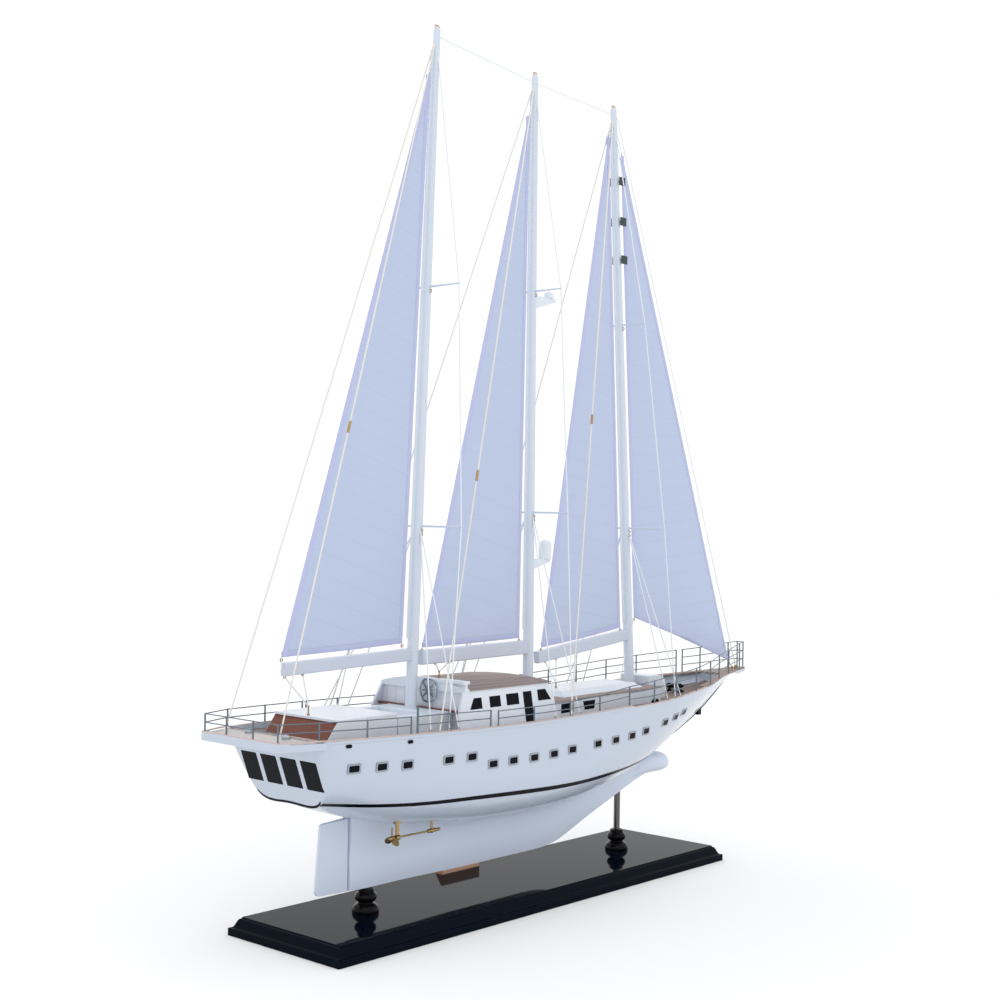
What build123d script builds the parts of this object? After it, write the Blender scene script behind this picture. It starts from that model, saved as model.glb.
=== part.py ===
"""A three-masted model sailing ship on its display stand, in millimetres.

+X points to the bow, +Y to port and +Z up. The origin is the centre of the base board's underside.
The ship is symmetrical about the plane Y = 0.
"""
from build123d import *
import math
import os

os.makedirs("parts", exist_ok=True)

# ---- driving dimensions -------------------------------------------------------------------------

# Stand
BOARD_LENGTH = 700
BOARD_WIDTH = 180
BOARD_THICKNESS = 20
POST_X = {"aft": -229, "fore": 230}
POST_HEIGHT = 26.8
ROD_RADIUS = 4.2

# Hull shell
SHELL = 4.0
TRANSOM_FOOT = Vector(-340.5, 0, 155)
TRANSOM_HEAD = Vector(-371, 0, 236)
STEM_HEAD_X = 497
FREE_TOP = 6
GRID = 6
NOTCH_X = 137
NOTCH_STEP = 2.6
CAP = 1.2

# Keel, rudder and propellers
KEEL_AFT_X = -257.8
RUDDER_AXIS_X = -262
RUDDER_FOOT = 48.5
STOCK_RADIUS = 2.5
RUNNING_FIT = 0.06
SHAFT_Y = 35
SHAFT_Z = 106
PROPELLER_X = -225
BLADE_RADIUS = 12

# Deck houses
DECK_THICKNESS = 3
AFT_CABIN_X = (-335, -234)
COCKPIT_X = (-230, -150)
WHEELHOUSE_X = (-143, 12)
TRUNK_X = (16, 262)
TRUNK_TOP = 239
ROOF_SHEET = 1.5
SKYLIGHT_TOP = 245
COCKPIT_TOP = 241
WHEEL_CENTRE = Vector(-148.5, -13.3, 261.5)
WHEEL_RADIUS = 14.2

# Rails
POST_RADIUS = 0.95
BAR_RADIUS = 0.6
RAIL_INSET = 2.2

# Spars: foot and head of each mast's centre line
MASTS = {
    "mizzen": (Vector(-163.3, 0, COCKPIT_TOP), Vector(-137.9, 0, 1026.7)),
    "main": (Vector(42.8, 0, TRUNK_TOP), Vector(38.5, 0, 1011.4)),
    "fore": (Vector(253.6, 0, TRUNK_TOP), Vector(199.6, 0, 1003.5)),
}
MAST_FOOT_RADIUS = 6.8
MAST_HEAD_RADIUS = 4.2
TRACK_DEPTH = 4
TRACK_THICKNESS = 2
BOOM_WIDTH = 8.5
BOOM_DEPTH = {"mizzen": 14.2, "main": 16.8, "fore": 15}
# aft and forward ends of each boom's centre line
BOOMS = {
    "mizzen": (Vector(-354, 0, 297.8), Vector(-170.5, 0, 302.7)),
    "main": (Vector(-148.5, 0, 298.2), Vector(34.5, 0, 300.3)),
    "fore": (Vector(58.5, 0, 285.8), Vector(240.5, 0, 305.4)),
}
# height and half length of each mast's two pairs of spreaders
SPREADERS = {
    "mizzen": ((727, 52), (450, 70)),
    "main": ((744, 47), (468, 62)),
    "fore": ((720, 43), (449, 66)),
}

# Sails: head, clew and tack
SAILS = {
    "mizzen_sail": (Vector(-148.6, 0, 980), Vector(-356.7, 0, 311.2), Vector(-178.8, 0, 316.5)),
    "main_sail": (Vector(29.4, 0, 968.8), Vector(-146.2, 0, 310), Vector(24.7, 0, 312.5)),
    "fore_sail": (Vector(190.6, 0, 975), Vector(67.3, 0, 298.3), Vector(231, 0, 316)),
    "jib": (Vector(217.3, 0, 955), Vector(262, 0, 328.5), Vector(495.3, 0, 256)),
}
SAIL_THICKNESS = 1.0
CORD_RADIUS = 0.7
BACKSTAY_RADIUS = 0.85


# ---- helpers ------------------------------------------------------------------------------------

def fair(points):
    """A smooth function through (x, value) points, made of cubic pieces."""
    xs = [p[0] for p in points]
    ys = [p[1] for p in points]
    chords = [(ys[i + 1] - ys[i]) / (xs[i + 1] - xs[i]) for i in range(len(xs) - 1)]
    slopes = [chords[0]]
    for before, after in zip(chords, chords[1:]):
        slopes.append((before + after) / 2)
    slopes.append(chords[-1])

    def value(x):
        i = max(0, min(len(xs) - 2, sum(1 for a in xs if a <= x) - 1))
        span = xs[i + 1] - xs[i]
        t = (x - xs[i]) / span
        if t < 0 or t > 1:
            return ys[i] + chords[i] * (x - xs[i])
        rise = (2 * t**3 - 3 * t**2 + 1) * ys[i] + (3 * t**2 - 2 * t**3) * ys[i + 1]
        bend = (t**3 - 2 * t**2 + t) * slopes[i] + (t**3 - t**2) * slopes[i + 1]
        return rise + bend * span

    return value


def save(builder, name):
    """Label a finished piece and write it to its own file."""
    builder.part.label = name
    export_step(builder.part, f"parts/{name}.step")


def rod(start, end, radius, top_radius=None, mode=Mode.ADD):
    """Add a round bar, which may taper, from start to end to the part being built."""
    run = end - start
    with BuildSketch(Plane(origin=start, z_dir=run)) as foot:
        Circle(radius)
    if top_radius is None:
        extrude(foot.sketch, amount=run.length, mode=mode)
        return
    with BuildSketch(Plane(origin=end, z_dir=run)) as head:
        Circle(top_radius)
    loft([foot.sketch.face(), head.sketch.face()], mode=mode)


def box(low, high, mode=Mode.ADD):
    """Add a rectangular block between two corners to the part being built."""
    size = [b - a for a, b in zip(low, high)]
    middle = [(a + b) / 2 for a, b in zip(low, high)]
    with Locations(Vector(*middle)):
        Box(*size, mode=mode)


def both_sides(point):
    """A starboard point and its mirror image on the port side."""
    return [Vector(point.X, -abs(point.Y), point.Z), Vector(point.X, abs(point.Y), point.Z)]


def along(start, end, fraction):
    """The point a fraction of the way from start to end."""
    return start + (end - start) * fraction


def at_height(start, end, z):
    """The point at height z on the line from start to end."""
    return along(start, end, (z - start.Z) / (end.Z - start.Z))


def across(x):
    """The vertical plane across the ship at x: local x is to port and local y is up."""
    return Plane(origin=(x, 0, 0), x_dir=(0, 1, 0), z_dir=(1, 0, 0))


def side_band(low, high, x_start, x_end, mode=Mode.ADD, half_width=130):
    """Add a block wider than the ship between two side-view curves, low(x) and high(x).

    Every band has its corners on the same grid of stations, so bands that share a curve fit exactly.
    """
    first = math.floor(x_start / GRID) + 1
    last = math.ceil(x_end / GRID) - 1
    xs = [x_start] + [GRID * i for i in range(first, last + 1)] + [x_end]
    lower = [(x, low(x)) for x in xs]
    upper = [(x, high(x)) for x in reversed(xs)]
    with BuildSketch(Plane.XZ.offset(-half_width)) as side_view:
        with BuildLine():
            Polyline(*lower, *upper, close=True)
        make_face()
    extrude(side_view.sketch, amount=2 * half_width, mode=mode)


# ---- hull lines ---------------------------------------------------------------------------------

sheer_half_breadth = fair([
    (-412, 61.5), (-371, 75.5), (-350, 80), (-300, 86), (-250, 90.5), (-130, 96.5), (-40, 97.5),
    (66, 96), (150, 92.8), (231, 88), (308, 77.5), (365, 62), (424, 38), (460, 26.5), (497, 15),
    (530, 8),
])
sheer_height = fair([
    (-412, 231), (-350, 230.2), (-250, 228.2), (-130, 225.6), (-56, 224.9), (66, 225.7), (137, 226.8),
    (231, 229.3), (308, 234.4), (384, 239), (424, 241.2), (497, 244.2), (530, 245.4),
])
bottom_height = fair([
    (-340, 155), (-300, 141), (-262, 129.5), (-200, 119), (-130, 111.5), (-60, 108), (20, 108),
    (100, 112.5), (170, 120), (240, 132), (290, 143.5), (329, 154), (370, 168.5), (418, 189),
    (460, 213), (497, 238),
])
# half breadth as a share of the sheer half breadth, one, two and three steps down the section
UPPER_SHARE = fair([(-340, 0.99), (-300, 0.985), (-60, 0.985), (60, 0.98), (150, 0.96), (240, 0.90),
                    (329, 0.80), (418, 0.70), (497, 0.66)])
MIDDLE_SHARE = fair([(-340, 0.90), (-300, 0.90), (-200, 0.935), (-60, 0.955), (60, 0.94), (150, 0.87),
                     (240, 0.72), (329, 0.50), (418, 0.40), (497, 0.36)])
BILGE_SHARE = fair([(-340, 0.68), (-300, 0.68), (-200, 0.72), (-60, 0.745), (60, 0.72), (150, 0.60),
                    (240, 0.42), (329, 0.20), (418, 0.15), (497, 0.14)])
STATIONS = [-322, -285, -240, -190, -130, -60, 10, 80, 150, 210, 265, 310, 350, 390, 430, 465]


def deck_edge(x):
    """Top of the bulwark at x: the sheer line, stepped down forward of the notch."""
    if x > NOTCH_X + 6:
        return sheer_height(x) - NOTCH_STEP
    if x > NOTCH_X:
        return sheer_height(x) - NOTCH_STEP * (x - NOTCH_X) / 6
    return sheer_height(x)


def closed_section(plane, half, floor):
    """A face bounded by a spline from side to side through the floor and a line along its top."""
    points = half + [(0, floor)] + [(-y, z) for y, z in reversed(half)]
    with BuildSketch(plane) as section:
        with BuildLine():
            Spline(*points)
            Line(points[-1], points[0])
        make_face()
    return section.sketch.face()


def hull_section(x, inset):
    """One cross section, as a spline from side to side under the hull, closed along the top."""
    breadth = sheer_half_breadth(x) - inset
    top = sheer_height(x)
    floor = bottom_height(x) + inset * 1.2
    depth = top - floor
    half = [
        (breadth, top + FREE_TOP),
        (breadth, top),
        (breadth * UPPER_SHARE(x), top - depth * 0.33),
        (breadth * MIDDLE_SHARE(x), top - depth * 0.66),
        (breadth * BILGE_SHARE(x), top - depth * 0.88),
    ]
    return closed_section(across(x), half, floor)


def transom_section(inset):
    """The raked transom's outline, drawn on its own sloping plane."""
    slope = TRANSOM_HEAD - TRANSOM_FOOT
    up = slope.normalized()
    plane = Plane(origin=TRANSOM_FOOT + Vector(inset * 1.3, 0, 0), x_dir=(0, 1, 0),
                  z_dir=Vector(0, 1, 0).cross(up))
    floor = inset * 1.2
    tall = slope.length + FREE_TOP - 4
    half = [
        (76 - inset, tall),
        (73 - inset, 74),
        (69 - inset, 57),
        (59 - inset, 22),
        (48.5 - inset, 5 + floor),
    ]
    return closed_section(plane, half, floor)


def hull_body(inset, last_station):
    """The hull as a solid, its top edge standing above the sheer by FREE_TOP."""
    sections = [transom_section(inset)]
    for x in STATIONS:
        if x < last_station - 10:
            sections.append(hull_section(x, inset))
    sections.append(hull_section(last_station, inset))
    with BuildPart() as body:
        loft(sections)
    return body


outer = hull_body(0, STEM_HEAD_X)
inner = hull_body(SHELL, 452)
skin = outer.faces().sort_by(SortBy.AREA)[-1]


def on_skin(x, z):
    """The plane touching the starboard side of the hull at (x, z), its z axis pointing outwards."""
    hits = skin.find_intersection_points(Axis((x, -200, z), (0, 1, 0)))
    point, normal = min(hits, key=lambda hit: hit[0].Y)
    if normal.Y > 0:
        normal = normal * -1
    level = Vector(0, 0, 1).cross(normal)
    return Plane(origin=point, x_dir=level, z_dir=normal)


# height of the planked deck inside the bulwarks
deck_top = fair([(-362, 226.5), (-300, 223.5), (-200, 220), (-56, 217.6), (66, 218.2), (137, 220),
                 (200, 219.5), (260, 218.5), (330, 219), (400, 222), (452, 228)])


def plan(x_start, x_end, inset, step=8):
    """Corner points of the deck's outline between two stations, seen from above."""
    count = max(2, round((x_end - x_start) / step))
    xs = [x_start + (x_end - x_start) * i / count for i in range(count + 1)]
    port = [(x, sheer_half_breadth(x) - inset) for x in xs]
    starboard = [(x, -y) for x, y in reversed(port)]
    return port + starboard


def plan_slab(outline, low, high, mode=Mode.ADD):
    """Add a level slab of the given outline between two heights to the part being built."""
    with BuildSketch(Plane.XY.offset(low)) as sheet:
        Polygon(*outline, align=None)
    extrude(sheet.sketch, amount=high - low, mode=mode)


# ---- stand --------------------------------------------------------------------------------------

with BuildPart() as base_board:
    PLINTH = 8
    box((-BOARD_LENGTH / 2, -BOARD_WIDTH / 2, 0), (BOARD_LENGTH / 2, BOARD_WIDTH / 2, PLINTH))
    chamfer(base_board.faces().sort_by(Axis.Z)[-1].edges(), 1.5)
    for lower, upper, edge in ((PLINTH, 10, 5.5), (10, 16.5, 8.5), (16.5, BOARD_THICKNESS, 11)):
        box((-BOARD_LENGTH / 2 + edge, -BOARD_WIDTH / 2 + edge, lower - 1),
            (BOARD_LENGTH / 2 - edge, BOARD_WIDTH / 2 - edge, upper))
    for x in POST_X.values():
        with Locations((x, 0, BOARD_THICKNESS)):
            Hole(ROD_RADIUS)
save(base_board, "base_board")


def stand_post(name):
    """A turned post: a bulb on the board, a bead above it and a collar under the keel."""
    x = POST_X[name]
    with BuildPart() as post:
        with BuildSketch(Plane.XZ.shift_origin((x, 0, BOARD_THICKNESS))) as profile:
            with BuildLine():
                Line((ROD_RADIUS, 0), (15, 0))
                ThreePointArc((15, 0), (14.2, 6), (9.2, 10.2))
                ThreePointArc((9.2, 10.2), (8.6, 11.2), (9.2, 12.2))
                ThreePointArc((9.2, 12.2), (12.3, 17.4), (9, 22.4))
                Line((9, 22.4), (9, 24))
                ThreePointArc((9, 24), (8.4, POST_HEIGHT - 0.7), (6.8, POST_HEIGHT))
                Line((6.8, POST_HEIGHT), (ROD_RADIUS, POST_HEIGHT))
                Line((ROD_RADIUS, POST_HEIGHT), (ROD_RADIUS, 0))
            make_face()
        revolve(profile.sketch, axis=Axis((x, 0, 0), (0, 0, 1)))
    save(post, f"stand_post_{name}")


for post_name in POST_X:
    stand_post(post_name)

with BuildPart() as support_rods:
    for x, rod_top in ((POST_X["aft"], 66), (POST_X["fore"], 117)):
        rod(Vector(x, 0, 2), Vector(x, 0, rod_top), ROD_RADIUS)
save(support_rods, "support_rods")

# A wedge of wood with its upright back towards the keel
PLAQUE_LENGTH = 67
PLAQUE_HEIGHT = 13.5
PLAQUE_BACK_Y = 60
with BuildPart() as name_plaque:
    with BuildSketch(Plane.YZ.offset(-43)) as wedge:
        Polygon((PLAQUE_BACK_Y, BOARD_THICKNESS), (PLAQUE_BACK_Y + 12, BOARD_THICKNESS),
                (PLAQUE_BACK_Y + 2.5, BOARD_THICKNESS + PLAQUE_HEIGHT),
                (PLAQUE_BACK_Y, BOARD_THICKNESS + PLAQUE_HEIGHT), align=None)
    extrude(wedge.sketch, amount=PLAQUE_LENGTH)
save(name_plaque, "name_plaque")

# ---- hull shell ---------------------------------------------------------------------------------

# The flat tongue of deck ahead of the stem, which fades into the hull
tongue_depth = fair([(460, 0.6), (474, 0.8), (490, 2.6), (499, 4.8), (512, 4), (530, 3)])
with BuildPart() as bow_tongue:
    plan_slab(plan(470, 530, 0), 225, 260)
    side_band(lambda x: deck_edge(x) - tongue_depth(x), deck_edge, 460, 540, mode=Mode.INTERSECT)
    fillet(bow_tongue.edges().filter_by(Axis.Z).sort_by(Axis.X)[-2:], 5)

# The strip of deck that lies on the overhanging platform
PLATFORM_AFT = -412
PLATFORM_BOTTOM = 222.5
PLATFORM_TOP = 231.2
with BuildPart() as aft_deck:
    plan_slab(plan(PLATFORM_AFT + 3, -362, 3), 227.6, 229.6)

PORTLIGHTS = [
    (-326, 200), (-290, 198.5), (-255, 197), (-195.5, 196.3), (-160, 196), (-126, 184.5),
    (-92.5, 184.8), (-56, 184.2), (-20, 184.6), (15, 186), (66, 187.5), (104, 188), (141, 189.5),
    (174, 192), (223, 198), (252, 202), (277, 206),
]
FRAME_SIZE = (16.5, 10.5)
GLASS_SIZE = (12.5, 7)
FAIRLEADS = [(-334, 224), (-253, 221.5)]


def portlight(x, z, size, low, high):
    """Add a round-cornered plate in the hull's side between two depths, and its mirror image."""
    with BuildSketch(on_skin(x, z)) as outline:
        RectangleRounded(*size, radius=1.6)
    plate = extrude(outline.sketch, amount=high - low, mode=Mode.PRIVATE)
    plate = plate.moved(Location(on_skin(x, z).z_dir * low))
    add(plate)
    add(plate.mirror(Plane.XZ))


with BuildPart() as portlight_blanks:
    for x, z in PORTLIGHTS:
        portlight(x, z, FRAME_SIZE, -1.2, 0.8)
with BuildPart() as portlight_panes:
    for x, z in PORTLIGHTS:
        portlight(x, z, GLASS_SIZE, -1.2, 0.3)
with BuildPart() as portlight_sight:
    for x, z in PORTLIGHTS:
        portlight(x, z, GLASS_SIZE, -1.3, 1.5)

with BuildPart() as portlight_frames:
    add(portlight_blanks.part)
    add(portlight_sight.part, mode=Mode.SUBTRACT)
save(portlight_frames, "portlight_frames")
save(portlight_panes, "portlight_glass")

TRANSOM_UP = (TRANSOM_HEAD - TRANSOM_FOOT).normalized()
transom_plane = Plane(origin=TRANSOM_FOOT, x_dir=(0, 1, 0), z_dir=Vector(0, 1, 0).cross(TRANSOM_UP))
PANE_SIZE = (25.6, 34)
PANE_PITCH = 32
PANE_DEPTH = 0.9
with BuildPart() as transom_windows:
    with BuildSketch(transom_plane) as panes:
        with Locations((0, 38.5)):
            with GridLocations(PANE_PITCH, 1, 4, 1):
                RectangleRounded(*PANE_SIZE, radius=1)
    extrude(panes.sketch, amount=PANE_DEPTH)
save(transom_windows, "transom_windows")

with BuildPart() as hull_shell:
    add(outer.part)
    add(inner.part, mode=Mode.SUBTRACT)
    side_band(deck_edge, lambda x: 300, -420, 558, mode=Mode.SUBTRACT)
    add(bow_tongue.part)
    add(aft_deck.part, mode=Mode.SUBTRACT)
    box((-400, -90, 229.6), (-362, 90, 240), mode=Mode.SUBTRACT)
    add(portlight_blanks.part, mode=Mode.SUBTRACT)
    add(transom_windows.part, mode=Mode.SUBTRACT)
    rod(Vector(RUDDER_AXIS_X, 0, 100), Vector(RUDDER_AXIS_X, 0, 160), STOCK_RADIUS + RUNNING_FIT,
        mode=Mode.SUBTRACT)
save(hull_shell, "hull_shell")

with BuildPart() as stern_platform:
    plan_slab(plan(PLATFORM_AFT, -360, 0), PLATFORM_BOTTOM, PLATFORM_TOP)
    add(aft_deck.part, mode=Mode.SUBTRACT)
    box((-400, -90, 229.6), (-350, 90, 240), mode=Mode.SUBTRACT)
    plan_slab(plan(PLATFORM_AFT + 3, -350, 3), 229, 240, mode=Mode.SUBTRACT)
    add(outer.part, mode=Mode.SUBTRACT)
save(stern_platform, "stern_platform")

with BuildPart() as main_deck:
    add(inner.part)
    side_band(lambda x: deck_top(x) - DECK_THICKNESS, deck_top, -366, 468, mode=Mode.INTERSECT)
    add(aft_deck.part)
save(main_deck, "main_deck")

FOREDECK_X = 336
WELL_END_X = 450
with BuildPart() as foredeck:
    plan_slab(plan(FOREDECK_X, 528.5, 0.8), 230, 250)
    plan_slab(plan(FOREDECK_X - 8, WELL_END_X, 13), 225, 255, mode=Mode.SUBTRACT)
    side_band(deck_edge, lambda x: deck_edge(x) + 1.6, 300, 540, mode=Mode.INTERSECT)
save(foredeck, "foredeck")

with BuildPart() as cap_rail:
    add(outer.part)
    add(inner.part, mode=Mode.SUBTRACT)
    side_band(deck_edge, lambda x: deck_edge(x) + CAP, -366, FOREDECK_X, mode=Mode.INTERSECT)
    with BuildSketch(Plane.XY.offset(PLATFORM_TOP)) as kerb:
        Polygon(*plan(PLATFORM_AFT, -366, 0), align=None)
        Polygon(*plan(PLATFORM_AFT + 2.6, -360, 2.6), align=None, mode=Mode.SUBTRACT)
    extrude(kerb.sketch, amount=CAP)
save(cap_rail, "cap_rail")

with BuildPart() as stem_band:
    side_band(lambda x: bottom_height(x) - 1.6, lambda x: bottom_height(x) + 2.5, 324, 492,
              half_width=1.1)
    box((414, -3.2, 183), (421.5, 3.2, 193))
    add(outer.part, mode=Mode.SUBTRACT)
save(stem_band, "stem_band")

with BuildPart() as fairleads:
    for x, z in FAIRLEADS:
        portlight(x, z, (7, 3.6), -0.5, 1)
    add(outer.part, mode=Mode.SUBTRACT)
save(fairleads, "fairleads")

# ---- keel and rudder ----------------------------------------------------------------------------

keel_foot = fair([(-258, 48.5), (-60, 48), (60, 49), (92, 52.5), (130, 65), (181, 82.5), (230, 98.5),
                  (279, 113), (306, 117)])
# half breadths of the keel at its foot, half way up, near the hull and where it meets the hull
KEEL_STATIONS = [
    (KEEL_AFT_X, 3.5, 4, 6, 9), (-200, 5.5, 7, 10, 20), (-120, 7, 10, 15, 34), (-40, 8, 12, 18, 44),
    (40, 8.5, 12.5, 19, 44), (92, 8.5, 12.5, 18, 39), (130, 8, 12, 17, 33), (181, 7, 10, 14, 26),
    (230, 6.2, 8.5, 12, 19), (279, 5, 7, 9, 12), (306, 3.5, 4, 5, 6),
]
# directions of the keel's side at its foot and where it flares into the hull
KEEL_FOOT_SLOPE = (0.15, 1)
KEEL_FLARE_SLOPE = (2.2, 1)
# centre height, half breadth and half height of the bulb at the keel's forward end
BULB_STATIONS = [
    (236, 115, 5, 7), (262, 121, 9, 10.5), (290, 127, 12, 13.2), (314, 127.6, 12.6, 13.6),
    (328, 126.6, 11.2, 12), (336.5, 125, 8, 8.6), (341, 123.6, 3.5, 3.8),
]


def keel_section(x, foot, middle, shoulder, flare):
    """One cross section of the keel, flat-footed and hollow where it spreads to meet the hull."""
    low = keel_foot(x)
    high = bottom_height(x) + 5
    tall = high - low
    port = [(foot, low), (middle, low + 0.5 * tall), (shoulder, low + 0.8 * tall), (flare, high)]
    starboard = [(-y, z) for y, z in reversed(port)]
    with BuildSketch(across(x)) as section:
        with BuildLine():
            Spline(*port, tangents=[KEEL_FOOT_SLOPE, KEEL_FLARE_SLOPE])
            Line(port[-1], starboard[0])
            Spline(*starboard, tangents=[(KEEL_FLARE_SLOPE[0], -1), (KEEL_FOOT_SLOPE[0], -1)])
            Line(starboard[-1], port[0])
        make_face()
    return section.sketch.face()


def bulb_section(x, height, half_breadth, half_height):
    """One oval cross section of the bulb."""
    with BuildSketch(across(x)) as section:
        with Locations((0, height)):
            Ellipse(half_breadth, half_height)
    return section.sketch.face()


with BuildPart() as keel_fin:
    loft([keel_section(*station) for station in KEEL_STATIONS])
    loft([bulb_section(*station) for station in BULB_STATIONS])
    add(outer.part, mode=Mode.SUBTRACT)
    add(stem_band.part, mode=Mode.SUBTRACT)
    add(support_rods.part, mode=Mode.SUBTRACT)
save(keel_fin, "keel_fin")

with BuildPart() as rudder:
    NOSE = 3.6
    with BuildSketch(Plane.XY.offset(40)) as blade_plan:
        with Locations((RUDDER_AXIS_X, 0)):
            Circle(NOSE)
        Polygon((RUDDER_AXIS_X, -NOSE), (RUDDER_AXIS_X, NOSE), (-310, 1), (-310, -1), align=None)
    extrude(blade_plan.sketch, amount=100)
    with BuildSketch(Plane.XZ.offset(-20)) as blade_side:
        Polygon((-257, 128.4), (-299, 126.6), (-305.6, 49.5), (-257, 48.5), align=None)
        fillet(blade_side.vertices().group_by(Axis.X)[0], 6)
        fillet(blade_side.vertices().filter_by(lambda v: -301 < v.X < -298), 4)
    extrude(blade_side.sketch, amount=40, mode=Mode.INTERSECT)
    rod(Vector(RUDDER_AXIS_X, 0, 74), Vector(RUDDER_AXIS_X, 0, 150), STOCK_RADIUS, mode=Mode.SUBTRACT)
save(rudder, "rudder")

with BuildPart() as rudder_stock:
    rod(Vector(RUDDER_AXIS_X, 0, 74), Vector(RUDDER_AXIS_X, 0, 146), STOCK_RADIUS)
save(rudder_stock, "rudder_stock")

# ---- propellers and their brackets --------------------------------------------------------------

SHAFT_RADIUS = 1.1
SHAFT_END_X = -150
STRUT_BORE = SHAFT_RADIUS + RUNNING_FIT
BEARING_BORE = SHAFT_RADIUS + 0.09
BLADES = 3
BLADE_PITCH = 32


def propeller(name, y, hand):
    """A three-bladed propeller on its shaft; hand is 1 or -1 for the way the blades are set."""
    centre = Vector(PROPELLER_X, y, SHAFT_Z)
    with BuildPart() as screw:
        rod(centre + Vector(-4.5, 0, 0), centre + Vector(-1.5, 0, 0), 0.9, 2.6)
        rod(centre + Vector(-1.5, 0, 0), centre + Vector(3.5, 0, 0), 2.6)
        rod(centre, Vector(SHAFT_END_X, y, SHAFT_Z), SHAFT_RADIUS)
        for i in range(BLADES):
            angle = math.radians(90 + i * 360 / BLADES)
            out = Vector(0, math.cos(angle), math.sin(angle))
            turn = Vector(0, -math.sin(angle), math.cos(angle))
            pitch = math.radians(BLADE_PITCH * hand)
            face = Vector(1, 0, 0) * math.cos(pitch) + turn * math.sin(pitch)
            middle = centre + Vector(1, 0, 0) + out * (BLADE_RADIUS - 5.6)
            with BuildSketch(Plane(origin=middle, x_dir=out, z_dir=face)) as blade:
                Ellipse(5.6, 3.6)
            extrude(blade.sketch, amount=0.45, both=True)
    save(screw, name)


propeller("propeller_stbd", -SHAFT_Y, 1)
propeller("propeller_port", SHAFT_Y, -1)

STRUT_X = -216
with BuildPart() as shaft_struts:
    for y in (-SHAFT_Y, SHAFT_Y):
        rod(Vector(STRUT_X - 3, y, SHAFT_Z), Vector(STRUT_X + 3, y, SHAFT_Z), 2.9)
        box((STRUT_X - 2.2, y - 0.8, SHAFT_Z + 1.5), (STRUT_X + 2.2, y + 0.8, SHAFT_Z + 30))
        box((STRUT_X - 4.5, y - 2.6, 121.5), (STRUT_X + 4.5, y + 2.6, 136))
        rod(Vector(STRUT_X - 5, y, SHAFT_Z), Vector(STRUT_X + 5, y, SHAFT_Z), STRUT_BORE,
            mode=Mode.SUBTRACT)
    add(outer.part, mode=Mode.SUBTRACT)
save(shaft_struts, "shaft_struts")

# where the beads of each turned bearing start and end, and how far out each one stands
BEARING_BEADS = ((-168, -164, 2.3), (-164, -159, 2.9), (-159, -154, 2.4), (-154, -148.5, 1.9))
BEARING_NECK = 1.6
with BuildPart() as shaft_bearings:
    for y in (-SHAFT_Y, SHAFT_Y):
        centre_line = Plane(origin=(0, y, SHAFT_Z), x_dir=(1, 0, 0), z_dir=(0, -1, 0))
        with BuildSketch(centre_line) as bead_profile:
            aft_x = BEARING_BEADS[0][0]
            fore_x = BEARING_BEADS[-1][1]
            with BuildLine():
                for bead_start, bead_end, reach in BEARING_BEADS:
                    ThreePointArc((bead_start, BEARING_NECK), ((bead_start + bead_end) / 2, reach),
                                  (bead_end, BEARING_NECK))
                Polyline((fore_x, BEARING_NECK), (fore_x, BEARING_BORE), (aft_x, BEARING_BORE),
                         (aft_x, BEARING_NECK))
            make_face()
        revolve(bead_profile.sketch, axis=Axis((0, y, SHAFT_Z), (1, 0, 0)))
        rod(Vector(-161.5, y, SHAFT_Z + 2), Vector(-161.5, y, SHAFT_Z + 30), 1.5)
    add(outer.part, mode=Mode.SUBTRACT)
save(shaft_bearings, "shaft_bearings")

# ---- deck houses --------------------------------------------------------------------------------

DECK_FLOOR = 205


def stand_on_deck():
    """Cut away whatever lies under the top of the deck from the part being built."""
    side_band(lambda x: DECK_FLOOR - 20, deck_top, -366, 468, mode=Mode.SUBTRACT)


CABIN_HALF = 50.5
CABIN_ROOF = 246.5
with BuildPart() as deck_trim:
    with BuildSketch(Plane.XZ.offset(-CABIN_HALF + 1.5)) as panel_side:
        Polygon((-336.2, 225.2), (-335, 225.2), (-321, 244), (-322.2, 244), align=None)
    extrude(panel_side.sketch, amount=2 * CABIN_HALF - 3)
    stand_on_deck()
    box((COCKPIT_X[1], -68, COCKPIT_TOP - 1.2), (WHEELHOUSE_X[0] - 0.3, 68, COCKPIT_TOP + 0.8))
save(deck_trim, "deck_trim")

with BuildPart() as aft_cabin:
    aft_x, fore_x = AFT_CABIN_X
    with BuildSketch(Plane.XZ.offset(-CABIN_HALF)) as cabin_side:
        Polygon((aft_x, DECK_FLOOR), (aft_x, 225.2), (-321, 244), (-324, 244), (-324, CABIN_ROOF),
                (fore_x, CABIN_ROOF), (fore_x, DECK_FLOOR), align=None)
    extrude(cabin_side.sketch, amount=2 * CABIN_HALF)
    fillet(aft_cabin.faces().sort_by(Axis.Z)[-1].edges().filter_by(Axis.X), 1.2)
    stand_on_deck()
    add(deck_trim.part, mode=Mode.SUBTRACT)
save(aft_cabin, "aft_cabin")

SEAT_WELL = (-222, -178)
with BuildPart() as cockpit_seats:
    aft_x, fore_x = COCKPIT_X
    box((aft_x, -48, DECK_FLOOR), (fore_x, 48, COCKPIT_TOP))
    box((SEAT_WELL[0], -36, COCKPIT_TOP - 11), (SEAT_WELL[1], 36, COCKPIT_TOP + 5),
        mode=Mode.SUBTRACT)
    fillet(cockpit_seats.faces().sort_by(Axis.Z)[-1].edges(), 0.8)
    stand_on_deck()
save(cockpit_seats, "cockpit_seats")

# Wheelhouse: sides lean in, front leans back, roof cambered and lower forward
HOUSE_FOOT = 205
HOUSE_EAVES = 264
HOUSE_FOOT_HALF = 77.5
HOUSE_EAVES_HALF = 67


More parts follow.
